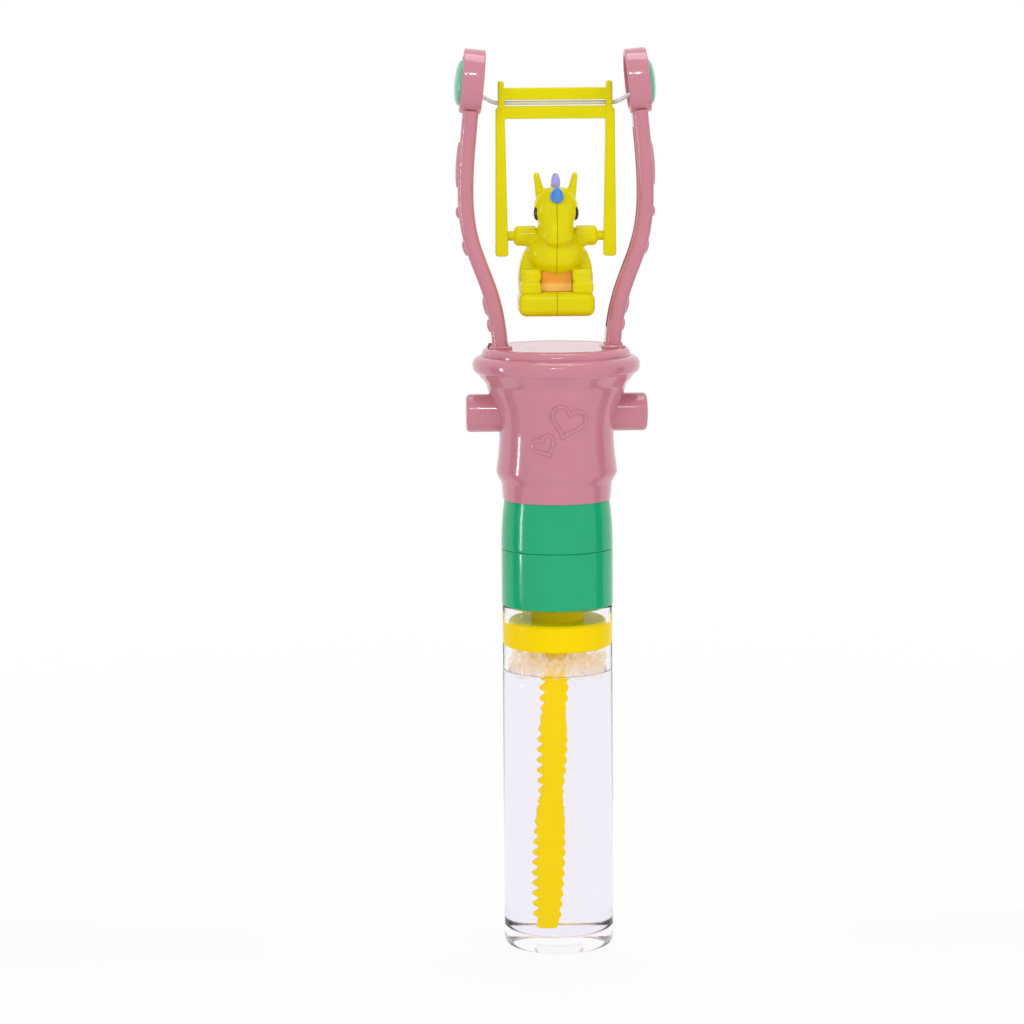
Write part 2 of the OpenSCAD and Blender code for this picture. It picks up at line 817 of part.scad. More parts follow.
// Middle line of an arm, from its pivot over its widest point to its head
belly = [pivot_x + belly_out, pivot_z + belly_rise];
arm_top_rise = head_rise - belly_rise;
arm_low_line = bezier([
    [pivot_x, pivot_z], [pivot_x, pivot_z + belly_rise * root_handle_share],
    belly - [0, belly_rise * belly_low_handle_share], belly
], 2 * CURVE_STEPS);
arm_high_line = bezier([
    belly, belly + [0, arm_top_rise * belly_high_handle_share],
    [head_x + (belly_out - head_out) * head_lean_share, head_z - arm_top_rise * head_handle_share],
    [head_x, head_z]
], CURVE_STEPS);
arm_line = concat(arm_low_line, rest(arm_high_line));

// Stretch of the arm's line that has the open channel
channel_line = [
    for (i = [0:len(arm_line) - 1])
        let (share = (arm_line[i][1] - pivot_z) / head_rise)
            if (share > channel_start_share && share < channel_end_share) arm_line[i]
];

// Outer face of a tail at a height: it meets the button's flange squarely when fully pressed
function tail_face(z) = button_face - touch_gap - (z - touch_z) * tan(arm_swing);

tail_high_z = button_z + button_flange_r + side_gap;
tail_outline = [
    [tail_face(tail_low_z), tail_low_z], [tail_face(tail_high_z), tail_high_z],
    [pivot_x, pivot_z - pivot_r], [pivot_x - pivot_r, pivot_z],
    [tail_face(tail_high_z) - tail_t, tail_high_z], [tail_face(tail_low_z) - tail_t, tail_low_z]
];
stud_x = tail_face(spring_z) - tail_t;

// Puts a shape that is drawn about a head's centre into its place
module at_head() {
    translate([head_x, 0, head_z]) rotate([0, -head_tilt, 0]) children();
}

head_face = head_t / 2;
web_in = head_face - cap_sink - web_t;
pocket_x = head_face - cap_sink - knot_sink;

// Arm on the right: a blade with a round head above and a tail below its pivot
module arm() {
    difference() {
        union() {
            plate_xz(concat(beside(arm_line, arm_t / 2), reversed(beside(arm_line, -arm_t / 2))), arm_d);
            translate([pivot_x, 0, pivot_z]) bar_y(pivot_r, -arm_d / 2, arm_d / 2);
            plate_xz(tail_outline, tail_d);
            translate([0, 0, spring_z]) bar_x(stud_r, stud_x - stud_h, stud_x + tail_t / 2);
            at_head() bar_x(head_r, -head_face, head_face);
        }
        plate_xz(
            concat(beside(channel_line, arm_t / 2 - arm_wall),
                   reversed(beside(channel_line, -arm_t / 2 - overrun))),
            arm_d - 2 * arm_wall
        );
        translate([pivot_x, 0, pivot_z]) bar_y(pin_r + run_gap, -arm_d, arm_d);
        at_head() {
            bar_x(head_r - head_wall, -head_face - arm_t, web_in);
            translate([0, 0, -cap_drop]) bar_x(cap_r + seat_gap, head_face - cap_sink, head_t);
            translate([0, 0, -string_drop]) {
                bar_x(knot_r + run_gap, pocket_x, head_face);
                bar_x(string_r + 2 * slide_gap, web_in - overrun, head_face);
            }
        }
    }
}

module left_arm() {
    color(pink) on_side(LEFT) arm();
}

module right_arm() {
    color(pink) on_side(RIGHT) arm();
}

// Push button on the right, with a flange that keeps it in its sleeve
module button() {
    color(pink)
        translate([0, 0, button_z])
            turned_x(concat(
                [
                    [0, button_face], [button_flange_r, button_face],
                    [button_flange_r, button_face + button_flange_t],
                    [button_r, button_face + button_flange_t]
                ],
                arc([button_r - button_edge_r, button_end - button_edge_r], button_edge_r, 0, 90),
                [[0, button_end]]
            ));
}

module left_button() {
    on_side(LEFT) button();
}

module right_button() {
    on_side(RIGHT) button();
}

// Helical spring between the two tails
spring_half = stud_x - touch_gap - spring_wire;
spring_steps = spring_turns * TURN_STEPS;
spring_path = [
    for (i = [0:spring_steps])
        let (a = 360 * i / TURN_STEPS)
            [spring_half * (2 * i / spring_steps - 1), spring_r * cos(a), spring_z + spring_r * sin(a)]
];
spring_sideways = [for (i = [0:spring_steps]) [0, cos(360 * i / TURN_STEPS), sin(360 * i / TURN_STEPS)]];

module return_spring() {
    color(steel) swept(spring_path, spring_sideways, spring_wire / 2, WIRE_SIDES);
}

echo(button_travel = button_travel);
echo(least_gap_between_the_springs_turns = 2 * spring_half / spring_turns - spring_wire);

// Hollow cap on a head's outer face, rounded at its edge and almost flat on top
cap_edge_share = 0.75;
cap_flat_share = 0.5;

function crown(r, h) = bezier([
    [r, head_face], [r, head_face + h * cap_edge_share],
    [r * cap_flat_share, head_face + h], [0, head_face + h]
], CURVE_STEPS);

module cap() {
    rim = head_face - cap_sink;
    color(green)
        at_head()
            translate([0, 0, -cap_drop])
                difference() {
                    turned_x(concat([[0, rim], [cap_r, rim]], crown(cap_r, cap_h)));
                    turned_x(concat(
                        [[0, rim - overrun], [cap_r - cap_wall, rim - overrun]],
                        crown(cap_r - cap_wall, cap_h - cap_wall)
                    ));
                }
}

module left_cap() {
    on_side(LEFT) cap();
}

module right_cap() {
    on_side(RIGHT) cap();
}

// Knot that holds the string's end behind a web
module knot() {
    color(thread)
        at_head() translate([pocket_x + knot_r, 0, -string_drop]) sphere(r = knot_r);
}

module left_knot() {
    on_side(LEFT) knot();
}

module right_knot() {
    on_side(RIGHT) knot();
}

// Strand of the string from a knot down to the swing, on the right
tilt_x = [cos(head_tilt), 0, sin(head_tilt)];
tilt_z = [-sin(head_tilt), 0, cos(head_tilt)];
strand_start = [head_x, 0, head_z] + (pocket_x - touch_gap) * tilt_x - string_drop * tilt_z;
strand_end = [swing_half + seat_gap, 0, swing_z];
strand_path = concat(bezier([
    strand_start, strand_start - (web_t + string_d) * tilt_x,
    strand_end + [swing_gap / 2, 0, 0], strand_end + [string_r, 0, 0]
], CURVE_STEPS), [strand_end]);

module strand() {
    color(thread)
        swept(strand_path, [for (p = strand_path) [0, 1, 0]], string_r, CORD_SIDES);
}

module string_left() {
    on_side(LEFT) strand();
}

module string_right() {
    on_side(RIGHT) strand();
}

// Middle of the string, through both bars and between the crossbars
middle_path = [for (i = [0:CURVE_STEPS]) [swing_half * (2 * i / CURVE_STEPS - 1), 0, swing_z]];

module string_middle() {
    color(thread)
        swept(middle_path, [for (p = middle_path) [0, 1, 0]], string_r, CORD_SIDES);
}

// Side bar on the right: straight and tapered, with rounded corners
module side_bar() {
    low_in = low_half - bar_low_w;
    tip_in = swing_half - bar_top_w;
    low_z = bar_low_z + bar_edge_r;
    tip_z = bar_tip_z - bar_edge_r;
    plate_xz(concat(
        arc([low_in + bar_edge_r, low_z], bar_edge_r, 180, 270),
        arc([low_half - bar_edge_r, low_z], bar_edge_r, 270, 360),
        arc([swing_half - bar_edge_r, tip_z], bar_edge_r, 0, 90),
        arc([tip_in + bar_edge_r, tip_z], bar_edge_r, 90, 180)
    ), swing_d);
}

// Frame that hangs on the string: two side bars and two crossbars
module swing_frame() {
    cross_half = swing_half - bar_top_w / 2;
    color(lemon)
        difference() {
            union() {
                side_bar();
                mirror([1, 0, 0]) side_bar();
                translate([-cross_half, -swing_d / 2, swing_z + cross_gap / 2])
                    cube([2 * cross_half, swing_d, cross_high_h]);
                translate([-cross_half, -swing_d / 2, swing_z - cross_gap / 2 - cross_low_h])
                    cube([2 * cross_half, swing_d, cross_low_h]);
            }
            translate([0, 0, swing_z]) bar_x(string_r + run_gap, -low_half - overrun, low_half + overrun);
            translate([0, 0, peg_z]) bar_x(peg_r + run_gap, -low_half - overrun, low_half + overrun);
        }
}

// Places of the figure, about its pegs
bar_in = low_half - bar_low_w;
hand_end = bar_in - hand_gap;
peg_end = low_half - seat_gap;
skull_c = [0, -skull_fore, peg_z + skull_h];
muzzle_c = [0, -muzzle_fore, peg_z + muzzle_h];
chest_c = [0, 0, peg_z - chest_drop];
seat_top = peg_z - seat_drop;
seat_low = seat_top - seat_h;

// Seat under the figure, with round upper edges at its sides
module seat() {
    edge_c = [seat_half - seat_edge_r, seat_top - seat_edge_r];
    outline = concat(
        [[0, seat_low], [seat_half, seat_low]], arc(edge_c, seat_edge_r, 0, 90), [[0, seat_top]]
    );
    translate([0, (seat_back - seat_fore) / 2, 0]) plate_xz(outline, seat_fore + seat_back);
}

// Haunches behind the legs, from the seat up to the shoulders
module haunch() {
    low_z = seat_top - seat_edge_r;
    top_z = peg_z - shoulder_drop;
    translate([0, (seat_back - window_fore) / 2, 0])
        plate_xz([[0, low_z], [haunch_half - seat_edge_r, low_z], [haunch_half, seat_top],
                  [haunch_half, peg_z - hip_drop], [shoulder_half, top_z], [0, top_z]],
                 seat_back + window_fore);
}

// Ear on the right, leaning outwards
ear_tip_share = 0.4;
ear_root = [ear_side, -skull_fore, skull_c[2]];

module ear(low_r, high_r) {
    rise = ear_top - skull_h;
    length = norm([rise, ear_lean]);
    translate(ear_root) rotate([0, atan(ear_lean / rise), 0]) cylinder(r1 = low_r, r2 = high_r, h = length);
}

// Right half of the figure: head, chest, arm with its peg, leg, seat and half of the tail
module figure_half() {
    difference() {
        union() {
            rod(muzzle_c, [0, -skull_fore, skull_c[2] - (skull_r - muzzle_r) / 2], muzzle_r);
            translate(skull_c) sphere(r = skull_r);
            rod(chest_c, [0, 0, peg_z + throat_r / 2], throat_r);
            translate(chest_c) sphere(r = chest_r);
            translate([0, 0, peg_z]) {
                bar_x(hand_r, 0, hand_end);
                bar_x(peg_r, 0, peg_end);
            }
            ear(ear_r, ear_r * ear_tip_share);
            rod([thigh_side, 0, peg_z - hip_drop], [thigh_side, -knee_fore, peg_z - knee_drop], thigh_r);
            seat();
            haunch();
            rod([0, chest_r - tail_r, seat_top], [0, tail_back - tail_r, chest_c[2]], tail_r);
        }
        translate([-seat_half, -2 * seat_half, seat_low - overrun])
            cube([seat_half + seat_gap / 2, 4 * seat_half, ear_top + seat_drop + seat_h + 2 * overrun]);
        translate([-overrun, -2 * seat_half, seat_top])
            cube([window_half + overrun, 2 * seat_half - window_fore, window_h]);
        horn_root(seat_gap);
        crest_root(seat_gap);
    }
}

module figure_left() {
    color(lemon) on_side(LEFT) figure_half();
}

module figure_right() {
    color(lemon) on_side(RIGHT) figure_half();
}

// Root of the horn in the figure's forehead
root_share = 0.5;

module along_horn() {
    translate(skull_c) rotate([90 - horn_slope, 0, 0]) children();
}

module horn_root(gap) {
    along_horn()
        translate([0, 0, skull_r * (1 - root_share) - gap])
            cylinder(r = horn_r * root_share + gap, h = skull_r);
}

// Drop-shaped horn with a root that plugs into the forehead
module figure_horn() {
    base = skull_r + seat_gap;
    length = horn_reach - base;
    root_z = skull_r * root_share;
    side = bezier([
        [horn_r * root_share, base], [horn_r * (1 + root_share), base + length * root_share / 2],
        [horn_r * root_share, base + length * (1 - root_share / 2)], [0, horn_reach]
    ], CURVE_STEPS);
    color(blue)
        along_horn() {
            difference() {
                turned(concat([[0, root_z], [horn_r * root_share, root_z]], side));
                difference() {
                    sphere(r = base);
                    cylinder(r = horn_r * root_share, h = base);
                }
            }
        }
}

// Angles of the crest about the head's centre, from the brow over the top to the nape
crest_front = 78;
crest_back = 190;
crest_tongue_share = 0.6;

module crest_shape(inner, half, outer) {
    translate(skull_c)
        rotate([0, -90, 0])
            rotate([0, 0, 180 - crest_back])
                rotate_extrude(angle = crest_back - crest_front)
                    polygon(concat(
                        [[inner, -half], [outer - half, -half]],
                        rest(arc([outer - half, 0], half, -90, 90)),
                        [[inner, half]]
                    ));
}

module crest_root(gap) {
    crest_shape(skull_r - crest_half - gap, crest_half * crest_tongue_share + gap, skull_r + crest_half);
}

// Crest that stands along the top of the head, with a tongue that plugs into it
module figure_crest() {
    color(lavender)
        difference() {
            union() {
                crest_shape(skull_r + seat_gap, crest_half, crest_reach);
                crest_shape(skull_r - crest_half, crest_half * crest_tongue_share, skull_r + crest_half);
            }
            figure_ears();
        }
}

module figure_ears() {
    for (side = [LEFT, RIGHT])
        on_side(side)
            ear(ear_r + seat_gap, ear_r + seat_gap);
}

tube();
bubble_solution();
wand();
collar();
neck();
front_shell();
back_shell();
top_cover();
shell_screws();
left_pivot_pin();
right_pivot_pin();
left_arm();
right_arm();
left_button();
right_button();
return_spring();
left_cap();
right_cap();
left_knot();
right_knot();
string_left();
string_middle();
string_right();
swing_frame();
figure_left();
figure_right();
figure_horn();
figure_crest();
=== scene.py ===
"""Dressed scene of a bubble wand with a squeeze swing: fine shapes, finishes, light and camera.

The object's sizes are in millimetres and degrees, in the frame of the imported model: Z up, front towards -Y.
The studio's sizes are in metres.
"""

import json
import logging
import math
import random
from dataclasses import dataclass
from enum import Enum
from types import MappingProxyType
from typing import Iterable, Mapping, Sequence

import bmesh
import bpy
from mathutils import Matrix, Vector

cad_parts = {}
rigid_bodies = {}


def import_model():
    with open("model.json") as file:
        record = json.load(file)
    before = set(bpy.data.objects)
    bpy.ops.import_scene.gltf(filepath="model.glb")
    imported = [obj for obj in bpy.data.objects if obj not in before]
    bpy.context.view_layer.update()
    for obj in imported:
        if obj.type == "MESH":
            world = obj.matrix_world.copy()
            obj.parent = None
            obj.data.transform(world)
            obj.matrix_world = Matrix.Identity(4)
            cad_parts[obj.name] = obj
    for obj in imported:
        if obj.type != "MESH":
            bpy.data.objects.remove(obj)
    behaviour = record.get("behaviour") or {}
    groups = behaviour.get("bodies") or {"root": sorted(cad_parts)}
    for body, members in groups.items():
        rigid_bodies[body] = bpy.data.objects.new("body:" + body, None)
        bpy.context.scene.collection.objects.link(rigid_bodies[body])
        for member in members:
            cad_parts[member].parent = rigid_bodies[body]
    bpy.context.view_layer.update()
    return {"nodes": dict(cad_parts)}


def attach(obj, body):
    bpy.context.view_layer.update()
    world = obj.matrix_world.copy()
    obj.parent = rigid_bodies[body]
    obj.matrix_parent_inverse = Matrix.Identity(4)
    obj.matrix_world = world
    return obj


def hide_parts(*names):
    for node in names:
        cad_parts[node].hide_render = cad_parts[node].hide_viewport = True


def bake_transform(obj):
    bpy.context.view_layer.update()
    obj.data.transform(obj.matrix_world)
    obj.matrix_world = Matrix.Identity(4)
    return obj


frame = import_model()

log = logging.getLogger("bubble_wand")

MM = 0.001  # a millimetre in metres
SHARP = 32.0  # least angle of an edge that stays sharp
SMOOTH = 180.0  # the same for a piece that is smooth all over
WELD = 1e-7  # gap in metres that is closed
FINE = 160  # facets around a large turned piece
ROUND = 96  # facets around a small one

Pair = tuple[float, float]
Triple = tuple[float, float, float]
Rgb = tuple[int, int, int]
Outline = list[Pair]
Ball = tuple[Triple, Triple]  # place and radii
Limb = tuple[Triple, Triple, float, float, int]  # ends, their radii and the number of balls
Shape = bmesh.types.BMesh
Socket = bpy.types.NodeSocket
Sockets = Mapping[str | int, float | Sequence[float] | Socket]

NONE: Sockets = MappingProxyType({})


class Part(Enum):
    """Part of the toy, as the sign of an axis."""

    @property
    def word(self) -> str:
        """Name of the part in the names of pieces and bodies."""
        return self.name.lower()


class Side(Part):
    """Side of the toy, as the sign of X."""

    LEFT = -1
    RIGHT = 1


class Half(Part):
    """Half of the housing, as the sign of Y."""

    FRONT = -1
    BACK = 1


class Shine(Enum):
    """What a lamp is for: light on surfaces, a mirror image in gloss, or both."""

    LIGHT = 1
    GLOSS = 2
    BOTH = 3


def bezier(a: Pair, b: Pair, c: Pair, d: Pair, steps: int) -> Outline:
    """Points of a cubic curve.

    Args:
        a: First end.
        b: Handle of the first end.
        c: Handle of the last end.
        d: Last end.
        steps: Number of stretches.

    Returns:
        The points, both ends included.
    """
    points: Outline = []
    for i in range(steps + 1):
        t = i / steps
        s = 1 - t
        w = (s ** 3, 3 * s * s * t, 3 * s * t * t, t ** 3)
        points.append(tuple(sum(k * p[axis] for k, p in zip(w, (a, b, c, d))) for axis in (0, 1)))
    return points


def arc(centre: Pair, radius: float, start: float, end: float, steps: int = 8) -> Outline:
    """Points of an arc between two angles in degrees, both ends included."""
    turn = [math.radians(start + (end - start) * i / steps) for i in range(steps + 1)]
    return [(centre[0] + radius * math.cos(a), centre[1] + radius * math.sin(a)) for a in turn]


def beside(path: Outline, distance: float) -> Outline:
    """Path in a plane, moved sideways.

    Args:
        path: Points of the path.
        distance: How far to the right of its direction.

    Returns:
        The moved points.
    """
    moved: Outline = []
    last = len(path) - 1
    for i, (x, z) in enumerate(path):
        ahead, behind = path[min(i + 1, last)], path[max(i - 1, 0)]
        dx, dz = ahead[0] - behind[0], ahead[1] - behind[1]
        size = math.hypot(dx, dz)
        moved.append((x + distance * dz / size, z - distance * dx / size))
    return moved


def radius_at(outline: Outline, z: float) -> float:
    """Radius of a turned shape at a height.

    Args:
        outline: Pairs of radius and height.
        z: The height.

    Returns:
        The radius, which is the last one above the outline.
    """
    for (r0, z0), (r1, z1) in zip(outline, outline[1:]):
        if z0 <= z <= z1 and z1 > z0:
            return r0 + (r1 - r0) * (z - z0) / (z1 - z0)
    return outline[-1][0]


def bell(z: float, middle: float, reach: float) -> float:
    """Bell of height 1 about a height."""
    return math.exp(-((z - middle) / reach) ** 2)


def sealed(bm: Shape) -> Shape:
    """Closes the open ends of a shape and gives it back."""
    bmesh.ops.holes_fill(bm, edges=[e for e in bm.edges if e.is_boundary])
    return bm


def lathe(outline: Outline, steps: int = 128, turn: float = 360.0, closed: bool = False) -> Shape:
    """Solid of revolution about Z.

    Args:
        outline: Pairs of radius and height.
        steps: Facets around the turn.
        turn: Angle in degrees, less than a full turn for a half shell.
        closed: True if the outline is a loop.

    Returns:
        The new shape, with closed ends and outward faces.
    """
    bm = bmesh.new()
    verts = [bm.verts.new((r * MM, 0, z * MM)) for r, z in outline]
    edges = [bm.edges.new(pair) for pair in zip(verts, verts[1:])]
    if closed:
        edges.append(bm.edges.new((verts[-1], verts[0])))
    full = turn == 360.0
    bmesh.ops.spin(
        bm, geom=verts + edges, cent=(0, 0, 0), axis=(0, 0, 1),
        angle=math.radians(turn), steps=steps, use_merge=full,
    )
    bmesh.ops.remove_doubles(bm, verts=bm.verts, dist=WELD)
    if not full:
        sealed(bm)
    bmesh.ops.recalc_face_normals(bm, faces=bm.faces)
    return bm


def rod(radius: float, low: float, high: float, steps: int) -> Shape:
    """Round rod about Z."""
    return lathe([(0, low), (radius, low), (radius, high), (0, high)], steps)


def pipe(bore: float, radius: float, low: float, high: float, steps: int) -> Shape:
    """Round pipe about Z."""
    return lathe([(bore, low), (radius, low), (radius, high), (bore, high)], steps, closed=True)


def wound(bm: Shape, reach: float, turn: float, steps: int) -> Shape:
    """Winds a loop along X, by a reach in metres and a turn in radians, and closes its ends."""
    bmesh.ops.spin(
        bm, geom=bm.verts[:] + bm.edges[:], cent=(0, 0, 0), axis=(1, 0, 0),
        dvec=(reach / steps, 0, 0), angle=turn, steps=steps,
    )
    return sealed(bm)


def bevelled(
    bm: Shape, edges: Sequence[bmesh.types.BMEdge], width: float, segments: int, clamp: bool = False,
) -> None:
    """Rounds some edges of a shape, with clamp only as far as the next rounding."""
    bmesh.ops.bevel(
        bm, geom=edges, offset=width * MM, offset_type="OFFSET", affect="EDGES",
        segments=segments, profile=0.5, material=-1, clamp_overlap=clamp,
    )


def soften(bm: Shape, width: float, segments: int, least: float = SHARP) -> None:
    """Rounds the sharp edges of a shape.

    Args:
        bm: The shape.
        width: Width of the rounding.
        segments: Facets across it.
        least: Least angle of an edge, in degrees, that is rounded.
    """
    angle = math.radians(least)
    sharp = [e for e in bm.edges if len(e.link_faces) == 2 and e.calc_face_angle(0) > angle]
    bevelled(bm, sharp, width, segments, clamp=True)


def thickened(bm: Shape, faces: Sequence[bmesh.types.BMFace], depth: float) -> Shape:
    """Makes flat faces a plate.

    Args:
        bm: The shape.
        faces: Its faces, in a plane across Y.
        depth: Thickness along Y.

    Returns:
        The shape, with outward faces.
    """
    made = bmesh.ops.extrude_face_region(bm, geom=faces)
    moved = [v for v in made["geom"] if isinstance(v, bmesh.types.BMVert)]
    bmesh.ops.translate(bm, vec=(0, depth * MM, 0), verts=moved)
    bmesh.ops.recalc_face_normals(bm, faces=bm.faces)
    return bm


def plate(outline: Outline, depth: float, y: float = 0.0) -> Shape:
    """Plate of an outline in the XZ plane.

    Args:
        outline: Pairs of X and Z.
        depth: Thickness along Y.
        y: Middle of the thickness.

    Returns:
        The new shape.
    """
    bm = bmesh.new()
    face = bm.faces.new([bm.verts.new((x * MM, (y - depth / 2) * MM, z * MM)) for x, z in outline])
    return thickened(bm, [face], depth)


def ribbon(one: Outline, other: Outline, depth: float) -> Shape:
    """Plate between two lines in the XZ plane.

    Args:
        one: Points of the first line.
        other: As many points of the second.
        depth: Thickness along Y, about its middle.

    Returns:
        The new shape.
    """
    bm = bmesh.new()
    a, b = ([bm.verts.new((x * MM, -depth / 2 * MM, z * MM)) for x, z in line] for line in (one, other))
    strip = [bm.faces.new((a[i], a[i + 1], b[i + 1], b[i])) for i in range(len(a) - 1)]
    return thickened(bm, strip, depth)


def box(low: Sequence[float], high: Sequence[float]) -> Shape:
    """Box between two corners."""
    (x0, y0, z0), (x1, y1, z1) = low, high
    return plate([(x0, z0), (x1, z0), (x1, z1), (x0, z1)], y1 - y0, (y0 + y1) / 2)


def turned(bm: Shape, matrix: Matrix) -> Shape:
    """Moves a shape by a matrix and gives it back."""
    bmesh.ops.transform(bm, matrix=matrix, verts=bm.verts)
    return bm


def along_x(bm: Shape) -> Shape:
    """Turns a shape made about Z so that its height lies along X."""
    return turned(bm, Matrix.Rotation(math.radians(90), 4, "Y"))


def along_y(bm: Shape) -> Shape:
    """Turns a shape made about Z so that its height lies along Y."""
    return turned(bm, Matrix.Rotation(math.radians(-90), 4, "X"))


def shifted(bm: Shape, x: float = 0.0, z: float = 0.0) -> Shape:
    """Moves a shape and gives it back."""
    bmesh.ops.translate(bm, vec=(x * MM, 0, z * MM), verts=bm.verts)
    return bm


def on_side(bm: Shape, side: Side) -> Shape:
    """Turns a shape made on the right into the one on a side.

    Args:
        bm: The shape.
        side: Left or right.

    Returns:
        The same shape, mirrored for the left.
    """
    if side is Side.LEFT:
        bmesh.ops.scale(bm, vec=(-1, 1, 1), verts=bm.verts)
        bmesh.ops.reverse_faces(bm, faces=bm.faces)
    return bm


def joined(parts: Iterable[Shape]) -> Shape:
    """Puts several shapes into one.

    Args:
        parts: The shapes, which are used up.

    Returns:
        One shape with all of them.
    """
    whole = bmesh.new()
    for part in parts:
        carrier = bpy.data.meshes.new("carrier")
        part.to_mesh(carrier)
        part.free()
        whole.from_mesh(carrier)
        bpy.data.meshes.remove(carrier)
    return whole


def linked(name: str, data: bpy.types.ID) -> bpy.types.Object:
    """Object in the scene.

    Args:
        name: Its name.
        data: Its mesh, curve, light or camera.

    Returns:
        The new object.
    """
    made = bpy.data.objects.new(name, data)
    bpy.context.scene.collection.objects.link(made)
    return made


def loose_object(name: str, bm: Shape) -> bpy.types.Object:
    """Object of a shape that rides on nothing yet.

    Args:
        name: Its name.
        bm: The shape, which is used up.

    Returns:
        The new object.
    """
    mesh = bpy.data.meshes.new(name)
    bm.to_mesh(mesh)
    bm.free()
    return linked(name, mesh)


def released(carrier: bpy.types.Object) -> Shape:
    """Takes the shape out of an object, with its modifiers in it.

    Args:
        carrier: The object, which is used up.

    Returns:
        The shape.
    """
    bpy.context.view_layer.update()
    seen = carrier.evaluated_get(bpy.context.evaluated_depsgraph_get())
    mesh = bpy.data.meshes.new_from_object(seen)
    bm = bmesh.new()
    bm.from_mesh(mesh)
    bpy.data.batch_remove([carrier, carrier.data, mesh])
    return bm


def carve(bm: Shape, cuts: Iterable[Shape]) -> Shape:
    """Cuts shapes out of another.

    Args:
        bm: The shape to cut, which is used up.
        cuts: Closed shapes to take away, which are used up.

    Returns:
        The cut shape.
    """
    body = loose_object("carved", bm)
    tools = [loose_object("cut", cut) for cut in cuts]
    for tool in tools:
        step = body.modifiers.new("cut", "BOOLEAN")
        step.object = tool
        step.operation = "DIFFERENCE"
        step.solver = "EXACT"
    result = released(body)
    for tool in tools:
        bpy.data.batch_remove([tool, tool.data])
    return result


def blobs_joined(bm: Shape, voxel: float, rounds: int) -> Shape:
    """Melts overlapping shapes into one smooth skin.

    Args:
        bm: The overlapping shapes, which are used up.
        voxel: Grid of the new skin.
        rounds: Rounds of smoothing.

    Returns:
        The new skin.
    """
    body = loose_object("melted", bm)
    step = body.modifiers.new("melt", "REMESH")
    step.mode = "VOXEL"
    step.voxel_size = voxel * MM
    result = released(body)
    for _ in range(rounds):
        bmesh.ops.smooth_vert(
            result, verts=result.verts, factor=0.5, use_axis_x=True, use_axis_y=True, use_axis_z=True,
        )
    return result


def ball(bm: Shape, centre: Sequence[float], radii: Triple, turn: Matrix | None = None) -> None:
    """Adds an ellipsoid to a shape.

    Args:
        bm: The shape.
        centre: Middle of the ellipsoid.
        radii: Half its size along X, Y and Z.
        turn: Rotation about its middle.
    """
    place = Matrix.Translation(Vector(centre) * MM) @ (turn or Matrix.Identity(4))
    place = place @ Matrix.Diagonal((*[r * MM for r in radii], 1))
    bmesh.ops.create_icosphere(bm, subdivisions=4, radius=1, matrix=place)


def limb(bm: Shape, a: Vector, b: Vector, ra: float, rb: float, count: int) -> None:
    """Adds a tapered round limb to a shape as a row of balls.

    Args:
        bm: The shape.
        a: First end.
        b: Last end.
        ra: Radius at the first end.
        rb: Radius at the last end.
        count: Number of balls.
    """
    for i in range(count):
        t = i / (count - 1)
        r = ra + (rb - ra) * t
        ball(bm, a.lerp(b, t), (r, r, r))


def linear(colour: Rgb) -> tuple[float, ...]:
    """Colour of 0 to 255 values, as the shader takes it."""
    parts = [v / 255 for v in colour]
    return (*[v / 12.92 if v <= 0.04045 else ((v + 0.055) / 1.055) ** 2.4 for v in parts], 1.0)


